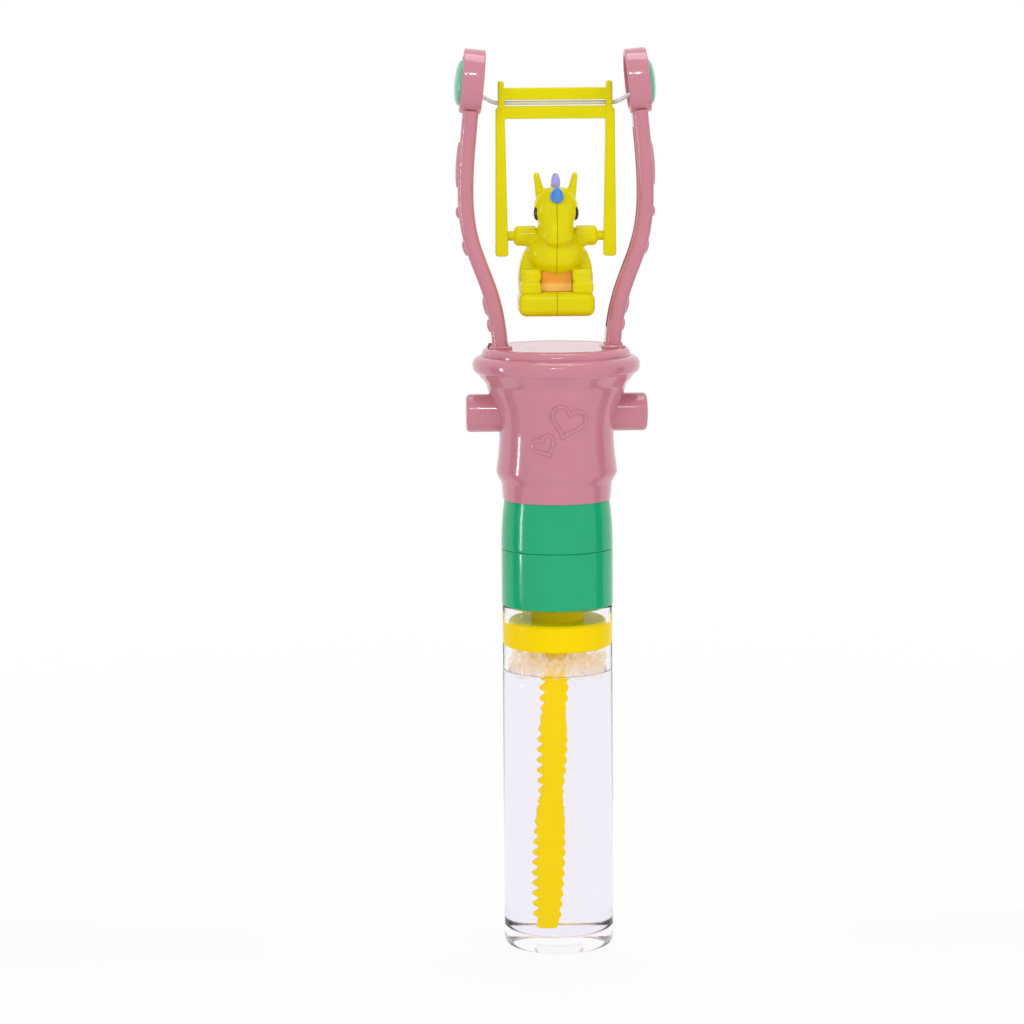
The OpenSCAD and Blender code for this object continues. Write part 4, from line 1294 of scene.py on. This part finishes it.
@dataclass
class Housing:
    """Round housing: two half shells, the cover, three screws and the raised hearts."""

    low: float = 136.6
    top: float = 179.9
    skirt_r: float = 16.15
    crease: Pair = (16.65, 141.8)
    bead: Pair = (18.15, 145.1)
    waist: Pair = (17.15, 155.6)
    flare: Pair = (20.95, 171.2)
    lip: Pair = (24.0, 174.9)
    flange: Pair = (25.1, 177.3)
    cover_r: float = 22.3
    plate_r: float = 20.0
    cover_z: float = 178.5
    cover_top: float = 182.4
    cover_gap: float = 0.02
    cover_dish: float = 0.12
    cover_rings: tuple[float, ...] = (19.5, 17.0, 12.0, 6.0, 0.0)
    ledge: Pair = (20.4, 177.2)
    lining: Pair = (143.5, 175.0)
    spigot: Pair = (14.35, 142.9)
    spigot_bore: float = 13.55
    wall: float = 1.8
    groove: float = 0.12
    groove_least: float = 75.0
    button_z: float = 162.6
    hole_r: float = 5.8
    drill: Pair = (10.0, 30.0)
    slot_in: float = 13.85
    slot_out: float = 20.55
    slot_half: float = 5.55
    slot_corner: float = 0.8
    rim_w: float = 1.0
    rim_h: float = 0.7
    rim_foot: float = 0.4
    rim_in: float = 14.3
    rim_half: float = 5.4
    rim_out: float = 20.2
    screw_hole_r: float = 2.02
    screw_seat: float = 6.5
    screws: tuple[Pair, ...] = ((-9.0, 148.2), (9.0, 148.2), (0.0, 169.6))
    well_wall: float = 1.0
    well_root: float = 0.4
    heart_set: tuple[Heart, ...] = (Heart((2.2, 161.0), 10.2, -17.0), Heart((-4.2, 154.0), 6.6, 28.0))
    heart_r: float = 0.55

    def side(self) -> Outline:
        """Outer side of the housing, from its foot to its brim.

        Returns:
            Pairs of radius and height.
        """
        brim = (self.cover_r + self.cover_gap, self.top)
        (cx, cz), (bx, bz), (wx, wz) = self.crease, self.bead, self.waist
        (fx, fz), (lx, lz), (gx, gz) = self.flare, self.lip, self.flange
        outline = [(self.skirt_r, self.low), (self.skirt_r + 0.04, self.low + 0.4)]
        outline += bezier((cx, cz), (cx + 0.45, cz + 0.9), (bx - 0.12, bz - 1.0), (bx, bz), 14)
        outline += bezier((bx, bz), (bx + 0.05, bz + 0.6), (wx, wz - 4), (wx, wz), 20)[1:]
        outline += bezier((wx, wz), (wx, wz + 0.4 * (fz - wz)),
                          (fx - 0.4 * (fx - wx), fz - 0.4 * (fz - wz)), (fx, fz), 28)[1:]
        outline += bezier((fx, fz), (fx + 0.9, fz + 1.35), (lx - 0.9, lz - 1.1), (lx, lz), 12)[1:]
        outline += bezier((lx + 0.3, lz + 0.12), (lx + 0.7, lz + 0.3), (gx, gz - 1.3), (gx, gz), 12)
        outline += bezier((gx, gz), (gx, gz + 0.6 * (brim[1] - gz)), (brim[0] + 1.2, brim[1]), brim, 18)[1:]
        return outline

    def build(self) -> None:
        """Makes all the pieces of the housing."""
        for half in Half:
            self.shell(half)
        self.cover()
        self.screw_set()
        self.hearts()

    def shell(self, half: Half) -> None:
        """One half shell, with its share of the button holes and the screw wells.

        Args:
            half: Front or back.
        """
        outer, seat, (start, end) = self.side(), self.cover_z - self.cover_gap, self.lining
        inner = [(self.cover_r + self.cover_gap, seat), (self.ledge[0], seat), self.ledge]
        inner += [(r - self.wall, z) for r, z in reversed(outer) if start < z < end]
        inner += [self.spigot, (self.spigot_bore, self.spigot[1]), (self.spigot_bore, self.low)]
        shell = lathe(outer + inner, 90, 180.0 * half.value, closed=True)
        soften(shell, self.groove, 1, self.groove_least)
        holes = []
        for side in Side:
            hole = along_x(rod(self.hole_r, *self.drill, 72))
            holes.append(shifted(on_side(hole, side), z=self.button_z))
        wells = []
        if half is Half.BACK:
            for x, z in self.screws:
                holes.append(shifted(along_y(rod(self.screw_hole_r, *self.drill, 40)), x=x, z=z))
                wells.append(self.well(x, z))
        whole = joined([carve(shell, holes), *wells])
        dressed(f"{half.word}_half", whole, PINK, "head", [f"{half.word}_shell"])

    def well(self, x: float, z: float) -> Shape:
        """Round well that a screw sits in, inside the back shell.

        Args:
            x: Place of the screw along X.
            z: Its height.

        Returns:
            The shape.
        """
        inside = radius_at(self.side(), z) - self.wall
        reach = math.sqrt(max(0.0, inside ** 2 - x * x)) + self.well_root
        r = self.screw_hole_r
        return shifted(along_y(pipe(r, r + self.well_wall, self.screw_seat, reach, 40)), x=x, z=z)

    def cover(self) -> None:
        """Cover with a rolled rim and a slot for each arm."""
        r, top = self.cover_r, self.cover_top
        outline = [(0, self.cover_z), (r - 0.25, self.cover_z), (r - 0.25, self.top - 0.2)]
        outline += bezier((r, self.top), (r + 0.05, self.top + 1.4), (r - 0.9, top), (self.plate_r, top), 14)
        outline += [(q, top - self.cover_dish) for q in self.cover_rings]
        disc = carve(lathe(outline, 180), [on_side(self.slot(), side) for side in Side])
        rims = [on_side(self.slot_rim(), side) for side in Side]
        dressed("cover_disc", joined([disc, *rims]), PINK, "head", ["top_cover"])

    def slot(self) -> Shape:
        """Upright block that cuts the slot of the right arm.

        Returns:
            The shape.
        """
        cut = box((self.slot_in, -self.slot_half, self.cover_z - 2),
                  (self.slot_out, self.slot_half, self.cover_top + 2))
        upright = [e for e in cut.edges if abs(e.verts[0].co.z - e.verts[1].co.z) > MM]
        bevelled(cut, upright, self.slot_corner, 4)
        return cut

    def slot_rim(self) -> Shape:
        """Raised rim around the inner end of the right slot, sloped towards the plate.

        Returns:
            The shape.
        """
        a, b, w = self.rim_in, self.rim_half, self.rim_w
        low, high = self.cover_top - self.rim_foot, self.cover_top + self.rim_h
        block = box((a - w, -b - w, low), (self.rim_out, b + w, high))
        soften(block, 0.95 * min(w, self.rim_h), 5)
        hole = box((a, -b, low - 1), (self.rim_out + 1, b, high + 1))
        return carve(block, [hole])

    def screw_set(self) -> None:
        """Screws that hold the shells together."""
        parts = [shifted(Screw(self.screw_seat).shape(), x=x, z=z) for x, z in self.screws]
        dressed("screw_set", joined(parts), STEEL, "head", ["shell_screws"])

    def hearts(self) -> None:
        """Hearts in raised lines on the front."""
        data = bpy.data.curves.new("heart_lines", "CURVE")
        data.dimensions = "3D"
        data.bevel_depth = self.heart_r * MM
        data.bevel_resolution = 3
        for heart in self.heart_set:
            points = heart.line(self.side())
            spline = data.splines.new("POLY")
            spline.points.add(len(points) - 1)
            for slot, point in zip(spline.points, points):
                slot.co = (*point, 1)
            spline.use_cyclic_u = True
        bm = released(linked("heart_lines", data))
        bmesh.ops.remove_doubles(bm, verts=bm.verts, dist=WELD)
        bmesh.ops.recalc_face_normals(bm, faces=bm.faces)
        dressed("hearts", bm, PINK, "head", angle=SMOOTH)


@dataclass
class Grip:
    """Arm, cap, button, pin and knot of one side, in shapes made on the right."""

    side: Side
    pivot: Pair = (16.55, 174.85)
    belly: Pair = (26.75, 228.05)
    head: Pair = (24.5, 261.25)
    head_drop: float = 7.7
    low_shares: Pair = (0.575, 0.434)
    high_shares: Pair = (0.36, 0.24)
    tilt: float = 5.5
    arm_t: float = 4.7
    arm_d: float = 10.5
    arm_wall: float = 1.3
    channel: Pair = (187.5, 247.0)
    channel_edge: float = 0.3
    edge: float = 2.1
    head_r: float = 9.6
    head_half: float = 3.25
    head_wall: float = 1.6
    head_edge: float = 0.5
    cap_r: float = 6.8
    cap_h: float = 2.0
    cap_sink: float = 0.6
    cap_drop: float = 0.7
    cap_gap: float = 0.02
    button_r: float = 5.7
    button_z: float = 162.6
    button_in: float = 12.75
    button_out: float = 27.1
    button_edge: float = 1.3
    keeper: Pair = (1.2, 1.5)
    pin_r: float = 1.31
    boss_r: float = 3.35
    boss_half: float = 5.25
    tail: Pair = (154.1, 169.8)
    tail_t: float = 2.6
    tail_d: float = 8.0
    tail_gap: float = 0.15
    tail_z: float = 155.7
    tail_slope: float = 3.5
    drops: tuple[Triple, ...] = (
        (236.6, 6.8, 3.1), (222.6, 1.7, 1.7), (211.4, 2.3, 2.0), (194.6, 2.9, 2.1), (188.3, 2.0, 1.8),
    )
    drop_h: float = 0.85

    def own(self, part: str) -> str:
        """Name of a part of this side."""
        return f"{self.side.word}_{part}"

    def build(self) -> None:
        """Makes the pieces of the side, and dresses its pin and knot."""
        self.arm()
        self.cap()
        self.button()
        for part, finish in (("pivot_pin", STEEL), ("knot", THREAD)):
            node = self.own(part)
            piece = frame["nodes"][node]
            piece.data.materials.clear()
            piece.data.materials.append(finish.material())
            log.info("solid %s dressed", node)

    def line(self) -> Outline:
        """Middle line of the right arm, from its pivot into its head.

        Returns:
            Pairs of X and Z.
        """
        (px, pz), (bx, bz), (hx, hz) = self.pivot, self.belly, self.head
        (a, b), (c, d) = self.low_shares, self.high_shares
        low, high = bz - pz, hz - bz
        path = bezier((px, pz), (px, pz + a * low), (bx, bz - b * low), (bx, bz), 48)
        path += bezier((bx, bz), (bx, bz + c * high), (hx + d * (bx - hx), hz - c * high), (hx, hz), 32)[1:]
        return [p for p in path if p[1] < hz - self.head_drop]

    def at_head(self, drop: float = 0.0) -> Matrix:
        """Place of the right head.

        Args:
            drop: How far below the head's middle.

        Returns:
            The matrix from the head's own frame.
        """
        place = Matrix.Translation(Vector((self.head[0], 0, self.head[1])) * MM)
        turn = Matrix.Rotation(math.radians(-self.tilt), 4, "Y")
        return place @ turn @ Matrix.Translation((0, 0, -drop * MM))

    def blade(self) -> Shape:
        """Blade of the arm, with a channel along its inner side.

        Returns:
            The shape.
        """
        path = self.line()
        half = self.arm_t / 2
        bm = ribbon(beside(path, half), beside(path, -half), self.arm_d)
        sides = [e for e in bm.edges if e.calc_face_angle(0) > math.radians(60)
                 and all(abs(f.normal.z) < 0.85 for f in e.link_faces)]
        bevelled(bm, sides, self.edge, 7)
        low, high = self.channel
        strip = []
        for f in bm.faces:
            z = f.calc_center_median().z / MM
            if f.normal.x < -0.6 and abs(f.normal.y) < 0.1 and low < z < high:
                strip.append(f)
        bmesh.ops.inset_region(
            bm, faces=strip, thickness=self.channel_edge * MM, depth=-(self.arm_t - self.arm_wall) * MM,
            use_even_offset=True, use_boundary=True,
        )
        return bm

    def drum(self) -> Shape:
        """Round head: a cup that opens inwards, with a seat for the cap outside.

        Returns:
            The shape.
        """
        r, h, e = self.head_r, self.head_half, self.head_edge
        bore, seat, floor = r - self.head_wall, self.cap_r + self.cap_gap, h - self.cap_sink
        outline = [(0, 0.35), (bore - 0.4, 0.35), (bore, 0.75), (bore, -h + 0.3), (bore + 0.3, -h)]
        outline += arc((r - e, -h + e), e, -90, 0, 5)
        outline += arc((r - e, h - e), e, 0, 90, 5)
        outline += [(seat + 0.9, h), (seat + 0.75, floor), (0, floor)]
        return turned(along_x(lathe(outline, ROUND)), self.at_head())

    def tail_face(self, z: float) -> float:
        """Outer face of the tail at a height."""
        slope = math.tan(math.radians(self.tail_slope))
        return self.button_in - self.tail_gap - (z - self.tail_z) * slope

    def lever(self) -> list[Shape]:
        """Pivot boss and tail, inside the housing.

        Returns:
            The two shapes.
        """
        (px, pz), (low, high), r = self.pivot, self.tail, self.boss_r
        boss = pipe(self.pin_r, r, -self.boss_half, self.boss_half, 48)
        lower, upper = self.tail_face(low), self.tail_face(high)
        flat = plate([
            (lower, low), (upper, high), (px, pz - r), (px - r, pz),
            (upper - self.tail_t, high), (lower - self.tail_t, low),
        ], self.tail_d)
        soften(flat, 0.3, 2)
        return [shifted(along_y(boss), x=px, z=pz), flat]

    def relief(self) -> list[Shape]:
        """Raised drops down the outer face of the blade.

        Returns:
            The shapes, sunk into the face.
        """
        outer = beside(self.line(), self.arm_t / 2)
        parts = []
        for z, tall, wide in self.drops:
            i = min(range(1, len(outer) - 1), key=lambda k: abs(outer[k][1] - z))
            (x0, z0), (x1, z1) = outer[i - 1], outer[i + 1]
            turn = Matrix.Rotation(math.atan2(x1 - x0, z1 - z0), 4, "Y")
            bm = bmesh.new()
            ball(bm, (outer[i][0], 0, outer[i][1]), (self.drop_h, wide, tall), turn)
            parts.append(bm)
        return parts

    def arm(self) -> None:
        """Whole arm."""
        whole = joined([self.blade(), self.drum(), *self.lever(), *self.relief()])
        node = self.own("arm")
        dressed(f"{node}_moulding", on_side(whole, self.side), PINK, node, [node])

    def cap(self) -> None:
        """Cap on the head's outer face, rounded at its edge."""
        r, h, floor = self.cap_r, self.head_half, self.head_half - self.cap_sink
        top = h + self.cap_h
        outline = [(0, floor), (r, floor), (r, h - 0.1)]
        outline += bezier((r, h), (r, h + 0.75 * self.cap_h), (r / 2, top), (0, top), 24)
        bm = turned(along_x(lathe(outline, ROUND)), self.at_head(self.cap_drop))
        node = self.own("cap")
        dressed(f"{node}_dome", on_side(bm, self.side), MINT, self.own("arm"), [node])

    def button(self) -> None:
        """Push button with its keeper flange."""
        r, a, b, e = self.button_r, self.button_in, self.button_out, self.button_edge
        flange, back = r + self.keeper[0], a + self.keeper[1]
        outline = [(0, a), (flange, a), (flange, back), (r, back), (r, a + 6), (r, b - 4)]
        outline += arc((r - e, b - e), e, 0, 90, 10) + [(2.0, b), (0, b)]
        bm = shifted(along_x(lathe(outline, ROUND)), z=self.button_z)
        node = self.own("button")
        dressed(f"{node}_barrel", on_side(bm, self.side), PINK, node, [node])


@dataclass
class Spring:
    """Half of the return spring, from the middle to the tail of one arm."""

    side: Side
    half: float = 9.1
    coil: float = 2.2
    wire: float = 0.25
    turns: int = 4
    steps: int = 24
    z: float = 158.9

    def build(self) -> None:
        """Makes the coil."""
        side = self.side
        bm = bmesh.new()
        bmesh.ops.create_circle(bm, cap_ends=False, segments=10, radius=self.wire * MM)
        bmesh.ops.translate(bm, vec=(0, self.coil * MM, 0), verts=bm.verts)
        wound(bm, self.half * MM, 2 * math.pi * self.turns, self.turns * self.steps)
        bmesh.ops.recalc_face_normals(bm, faces=bm.faces)
        if side is Side.LEFT:
            turned(bm, Matrix.Rotation(math.pi, 4, "Y"))
        made = dressed(f"{side.word}_coil", shifted(bm, z=self.z), STEEL, None, ["return_spring"])
        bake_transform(made)


@dataclass
class Cord:
    """String from knot to knot: a middle length through the swing and a strand to each head."""

    diameter: float = 1.3
    z: float = 254.85
    half: float = 17.65
    lay: float = 3.4
    plies: int = 3
    flute: float = 0.06
    knot: Pair = (1.2, -3.0)
    web: float = 3.6
    lap: float = 0.3
    lead: float = 1.8

    def build(self, grips: Iterable[Grip]) -> None:
        """Makes the three lengths.

        Args:
            grips: The two arms whose heads hold the string.
        """
        strands = [self.strand(grip) for grip in grips]
        path = [Vector((self.half * (i / 12 - 1), 0, self.z)) * MM for i in range(25)]
        middle = dressed("string_span", self.rope(path), THREAD, "head", ["string_middle"],
                         angle=SMOOTH)

    def rope(self, path: list[Vector]) -> Shape:
        """Twisted string along a path in the XZ plane.

        Args:
            path: Points of its middle line, in metres.

        Returns:
            The closed shape.
        """
        reach = [0.0]
        for a, b in zip(path, path[1:]):
            reach.append(reach[-1] + (b - a).length)
        length = reach[-1]
        bm = bmesh.new()
        bmesh.ops.create_circle(bm, cap_ends=False, segments=18, radius=self.diameter / 2 * MM)
        for v in bm.verts:
            v.co *= 1 - self.flute + self.flute * math.cos(self.plies * math.atan2(v.co.y, v.co.x))
        steps = max(12, round(length / MM * 4))
        wound(along_x(bm), length, 2 * math.pi * length / (self.lay * MM), steps)
        for v in bm.verts:
            i = max(k for k in range(len(path) - 1) if reach[k] <= max(v.co.x, 0.0) + 1e-9)
            ahead = (path[i + 1] - path[i]).normalized()
            up = Vector((-ahead.z, 0, ahead.x))
            v.co = path[i] + ahead * (v.co.x - reach[i]) + Vector((0, v.co.y, 0)) + up * v.co.z
        bmesh.ops.recalc_face_normals(bm, faces=bm.faces)
        return bm

    def strand(self, grip: Grip) -> bpy.types.Object:
        """Strand from a knot down to the swing.

        Args:
            grip: The arm that holds the knot.

        Returns:
            The new object.
        """
        side, tilt = grip.side, math.radians(grip.tilt)
        (hx, hz), (out, up), c, s = grip.head, self.knot, math.cos(tilt), math.sin(tilt)
        start = (hx + out * c - up * s, hz + out * s + up * c)
        end = (self.half - self.lap, self.z)
        flat = bezier(start, (start[0] - self.web * c, start[1] - self.web * s),
                      (end[0] + self.lead, end[1]), end, 24)
        path = [Vector((x * side.value, 0, z)) * MM for x, z in flat]
        made = dressed(f"string_{side.word}_strand", self.rope(path), THREAD, None,
                       [f"string_{side.word}"], angle=SMOOTH)
        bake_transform(made)
        return made


@dataclass
class Swing:
    """Frame that hangs on the string."""

    half: float = 17.65
    low_half: float = 17.95
    tip_w: float = 2.5
    low_w: float = 3.8
    step: float = 0.7
    step_z: float = 253.2
    step_run: float = 0.4
    depth: float = 4.6
    bar_inset: float = 0.3
    tip_z: float = 261.35
    low_z: float = 209.45
    corner: float = 0.8
    edge: float = 0.45
    edge_least: float = 50.0
    bars: tuple[Pair, ...] = ((255.75, 259.35), (250.15, 253.95))

    def build(self) -> None:
        """Makes the frame."""
        c, inner, run = self.corner, self.half - self.step, self.step_run
        low, high = self.low_z + c, self.tip_z - c
        outline = arc((self.low_half - self.low_w + c, low), c, 180, 270, 4)
        outline += arc((self.low_half - c, low), c, 270, 360, 4)
        outline += [(self.half, self.step_z - run), (inner, self.step_z + run)]
        outline += arc((inner - c, high), c, 0, 90, 4)
        outline += arc((self.half - self.tip_w + c, high), c, 90, 180, 4)
        parts = []
        for side in Side:
            post = plate(outline, self.depth)
            soften(post, self.edge, 3, self.edge_least)
            parts.append(on_side(post, side))
        reach, half = self.half - self.tip_w / 2, (self.depth - self.bar_inset) / 2
        for low, high in self.bars:
            bar = box((-reach, -half, low), (reach, half, high))
            soften(bar, self.edge, 3)
            parts.append(bar)
        dressed("swing_bars", joined(parts), LEMON, "swing", ["swing_frame"])


@dataclass
class Unicorn:
    """Small unicorn on the pegs, in two halves, with its horn, crest, eyes and a sheet of painted shade in
    its window.

    Places of its forms are about the middle of the pegs.
    """

    peg: float = 215.45
    groove: float = 0.11
    voxel: float = 0.28
    hand_r: float = 3.0
    hand_in: float = 6.0
    hand_end: float = 12.45
    hand_edge: float = 1.4
    peg_r: float = 1.45
    peg_end: float = 17.9
    peg_edge: float = 0.2
    skull: Triple = (0.0, -2.2, 8.2)
    brow: Ball = ((0.0, -2.2, 8.6), (6.5, 6.2, 6.2))
    cheeks: Ball = ((0.0, -2.6, 7.0), (6.7, 5.6, 4.6))
    nose: Ball = ((0.0, -8.0, 0.5), (4.75, 3.3, 3.4))
    belly: Ball = ((0.0, -1.0, -5.0), (8.5, 7.2, 6.7))
    ear_foot: Ball = ((2.7, -2.0, 11.3), (3.0, 3.4, 3.0))
    muzzle: Limb = ((0.0, -4.0, 5.5), (0.0, -7.0, 1.7), 5.5, 4.7, 9)
    neck: Limb = ((0.0, 0.6, 5.0), (0.0, 0.5, -3.0), 5.2, 5.6, 9)
    tail: Limb = ((0.0, 6.2, -15.5), (0.0, 8.6, -8.0), 2.7, 2.4, 9)
    tail_tip: Limb = ((0.0, 8.6, -8.0), (0.0, 7.6, -3.6), 2.4, 1.5, 9)
    shoulder: Limb = ((5.0, 0.2, -1.2), (9.0, 0.0, 0.0), 3.4, 2.9, 9)
    ear: Limb = ((4.5, -1.8, 11.6), (5.7, -1.6, 18.0), 1.5, 0.92, 12)
    legs: tuple[tuple[Triple, Triple], ...] = (
        ((4.6, -6.4, -13.5), (10.3, 1.0, -9.6)), ((4.6, -7.6, -17.0), (10.9, 1.0, -13.1)),
    )
    leg_edge: float = 1.1
    back: tuple[Pair, ...] = ((11.1, -17.6), (11.05, -11.6), (10.6, -8.4), (9.5, -5.0), (7.4, -2.2))
    back_d: float = 9.6
    back_y: float = 2.5
    back_edge: float = 1.6
    seat: tuple[Triple, Triple] = ((-11.3, -8.0, -23.6), (11.3, 7.5, -16.4))
    seat_edge: float = 2.3
    horn_slope: float = 33.0
    horn_curve: tuple[Pair, ...] = ((1.4, 5.6), (3.1, 6.9), (1.5, 9.6), (0.25, 12.2))
    horn_top: float = 12.3
    tufts: int = 8
    tuft_half: Pair = (1.35, 1.5)
    tuft_reach_rise: Pair = (8.1, 2.5)
    first_reach_rise: Pair = (7.8, 2.2)
    tuft_start: float = 84.0
    tuft_step: float = 14.5
    crest_voxel: float = 0.2
    eye: Triple = (5.8, -4.2, 6.9)
    eye_size: Triple = (0.8, 1.35, 2.05)
    eye_turn: float = 23.0
    pane: tuple[Triple, Triple] = ((-4.5, -4.0, -16.3), (4.5, -3.2, -10.4))

    def at(self, place: Triple, side: Side = Side.RIGHT) -> Vector:
        """Place about the pegs, mirrored for the left, as a place in the model."""
        return Vector((place[0] * side.value, place[1], place[2] + self.peg))

    def block(self, corners: tuple[Triple, Triple]) -> Shape:
        """Box between two places about the pegs."""
        return shifted(box(*corners), z=self.peg)

    def build(self) -> None:
        """Makes all the pieces of the figure."""
        skin = self.body()
        for side in Side:
            self.half(skin, side)
        skin.free()
        self.horn()
        self.crest()
        self.eyes()
        # A flat sheet in the window stands in for the shaded hollow inside: painted shade.
        dressed("unicorn_window", self.block(self.pane), WINDOW_SHADE, "figure")

    def body(self) -> Shape:
        """Soft skin of the whole figure, without its seat, hands and pegs.

        Returns:
            The shape.
        """
        bm = bmesh.new()
        for place, radii in (self.brow, self.cheeks, self.nose, self.belly):
            ball(bm, self.at(place), radii)
        for start, end, *rest in (self.muzzle, self.neck, self.tail, self.tail_tip):
            limb(bm, self.at(start), self.at(end), *rest)
        blocks = [self.haunch()]
        for side in Side:
            place, radii = self.ear_foot
            ball(bm, self.at(place, side), radii)
            for start, end, *rest in (self.ear, self.shoulder):
                limb(bm, self.at(start, side), self.at(end, side), *rest)
            for corners in self.legs:
                leg = self.block(corners)
                soften(leg, self.leg_edge, 4)
                blocks.append(on_side(leg, side))
        return blobs_joined(joined([bm, *blocks]), self.voxel, 3)

    def haunch(self) -> Shape:
        """Broad back of the body, from the seat up to the shoulders.

        Returns:
            The shape.
        """
        outline = [(x, z + self.peg) for x, z in self.back]
        bm = plate(outline + [(-x, z) for x, z in reversed(outline)], self.back_d, self.back_y)
        soften(bm, self.back_edge, 4)
        return bm

    def half(self, skin: Shape, side: Side) -> None:
        """One half of the figure, with its hand, its peg, its half of the seat and painted shade along its
        seam.

        Args:
            skin: Skin of the whole figure.
            side: Left or right.
        """
        own = skin.copy()
        self.split(own, side)
        seat = self.block(self.seat)
        soften(seat, self.seat_edge, 8)
        self.split(seat, side)
        r, end, e, b = self.hand_r, self.hand_end, self.hand_edge, self.peg_edge
        hand = [(0, self.hand_in), (r, self.hand_in)] + arc((r - e, end - e), e, 0, 90, 8)
        hand += [(self.peg_r + b, end), (self.peg_r, end + b), (self.peg_r, self.peg_end - b)]
        hand += [(self.peg_r - b, self.peg_end), (0, self.peg_end)]
        arm = shifted(on_side(along_x(lathe(hand, 64)), side), z=self.peg)
        whole = joined([own, seat, arm])
        made = dressed(f"unicorn_{side.word}", whole, LEMON, "figure",
                       [f"figure_{side.word}"], angle=40.0)
        # Faces right at the seam take the darker yellow: painted shade along the groove between the halves.
        made.data.materials.append(SEAM_SHADE.material())
        for face in made.data.polygons:
            if all(abs(made.data.vertices[i].co.x) < 1.01 * self.groove * MM for i in face.vertices):
                face.material_index = 1

    def split(self, bm: Shape, side: Side) -> None:
        """Keeps one side of a shape, draws its edge in and closes the cut.

        Args:
            bm: The shape.
            side: Side that stays.
        """
        across = Vector((side.value, 0, 0))
        for reach in (0.0, self.groove):
            bmesh.ops.bisect_plane(
                bm, geom=bm.verts[:] + bm.edges[:] + bm.faces[:], plane_co=across * reach * MM,
                plane_no=across, clear_inner=reach == 0,
            )
        bm.normal_update()
        for v in {v for e in bm.edges if e.is_boundary for v in e.verts}:
            v.co -= Vector((0, v.normal.y, v.normal.z)).normalized() * self.groove * MM
        sealed(bm)

    def horn(self) -> None:
        """Drop-shaped horn on the forehead."""
        outline = [(0, self.horn_curve[0][1]), *bezier(*self.horn_curve, 20), (0, self.horn_top)]
        turn = Matrix.Rotation(math.radians(90 - self.horn_slope), 4, "X")
        bm = turned(lathe(outline, 48), Matrix.Translation(self.at(self.skull) * MM) @ turn)
        dressed("unicorn_horn", bm, SKY, "figure", ["figure_horn"])

    def crest(self) -> None:
        """Row of rounded tufts from the brow to the nape, the first one smaller."""
        bm = bmesh.new()
        for i in range(self.tufts):
            angle = math.radians(self.tuft_start + self.tuft_step * i)
            reach, rise = self.tuft_reach_rise if i else self.first_reach_rise
            centre = self.at(self.skull) + Vector((0, -math.cos(angle), math.sin(angle))) * reach
            ball(bm, centre, (*self.tuft_half, rise), Matrix.Rotation(angle - math.radians(90), 4, "X"))
        dressed("unicorn_crest", blobs_joined(bm, self.crest_voxel, 4), LILAC, "figure",
                ["figure_crest"], angle=SMOOTH)

    def eyes(self) -> None:
        """Painted oval eyes on the sides of the head."""
        bm = bmesh.new()
        for side in Side:
            turn = Matrix.Rotation(math.radians(-self.eye_turn * side.value), 4, "Z")
            ball(bm, self.at(self.eye, side), self.eye_size, turn)
        dressed("unicorn_eyes", bm, INK, "figure", angle=SMOOTH)


def main() -> None:
    """Builds the studio and every piece, in order."""
    Studio().build()
    grips = [Grip(side) for side in Side]
    Cord().build(grips)
    Vessel().build()
    Dipper().build()
    Housing().build()
    for grip in grips:
        grip.build()
        Spring(grip.side).build()
    Swing().build()
    Unicorn().build()


if __name__ == "__main__":
    logging.basicConfig(level=logging.INFO, format="%(name)s: %(message)s")
    main()
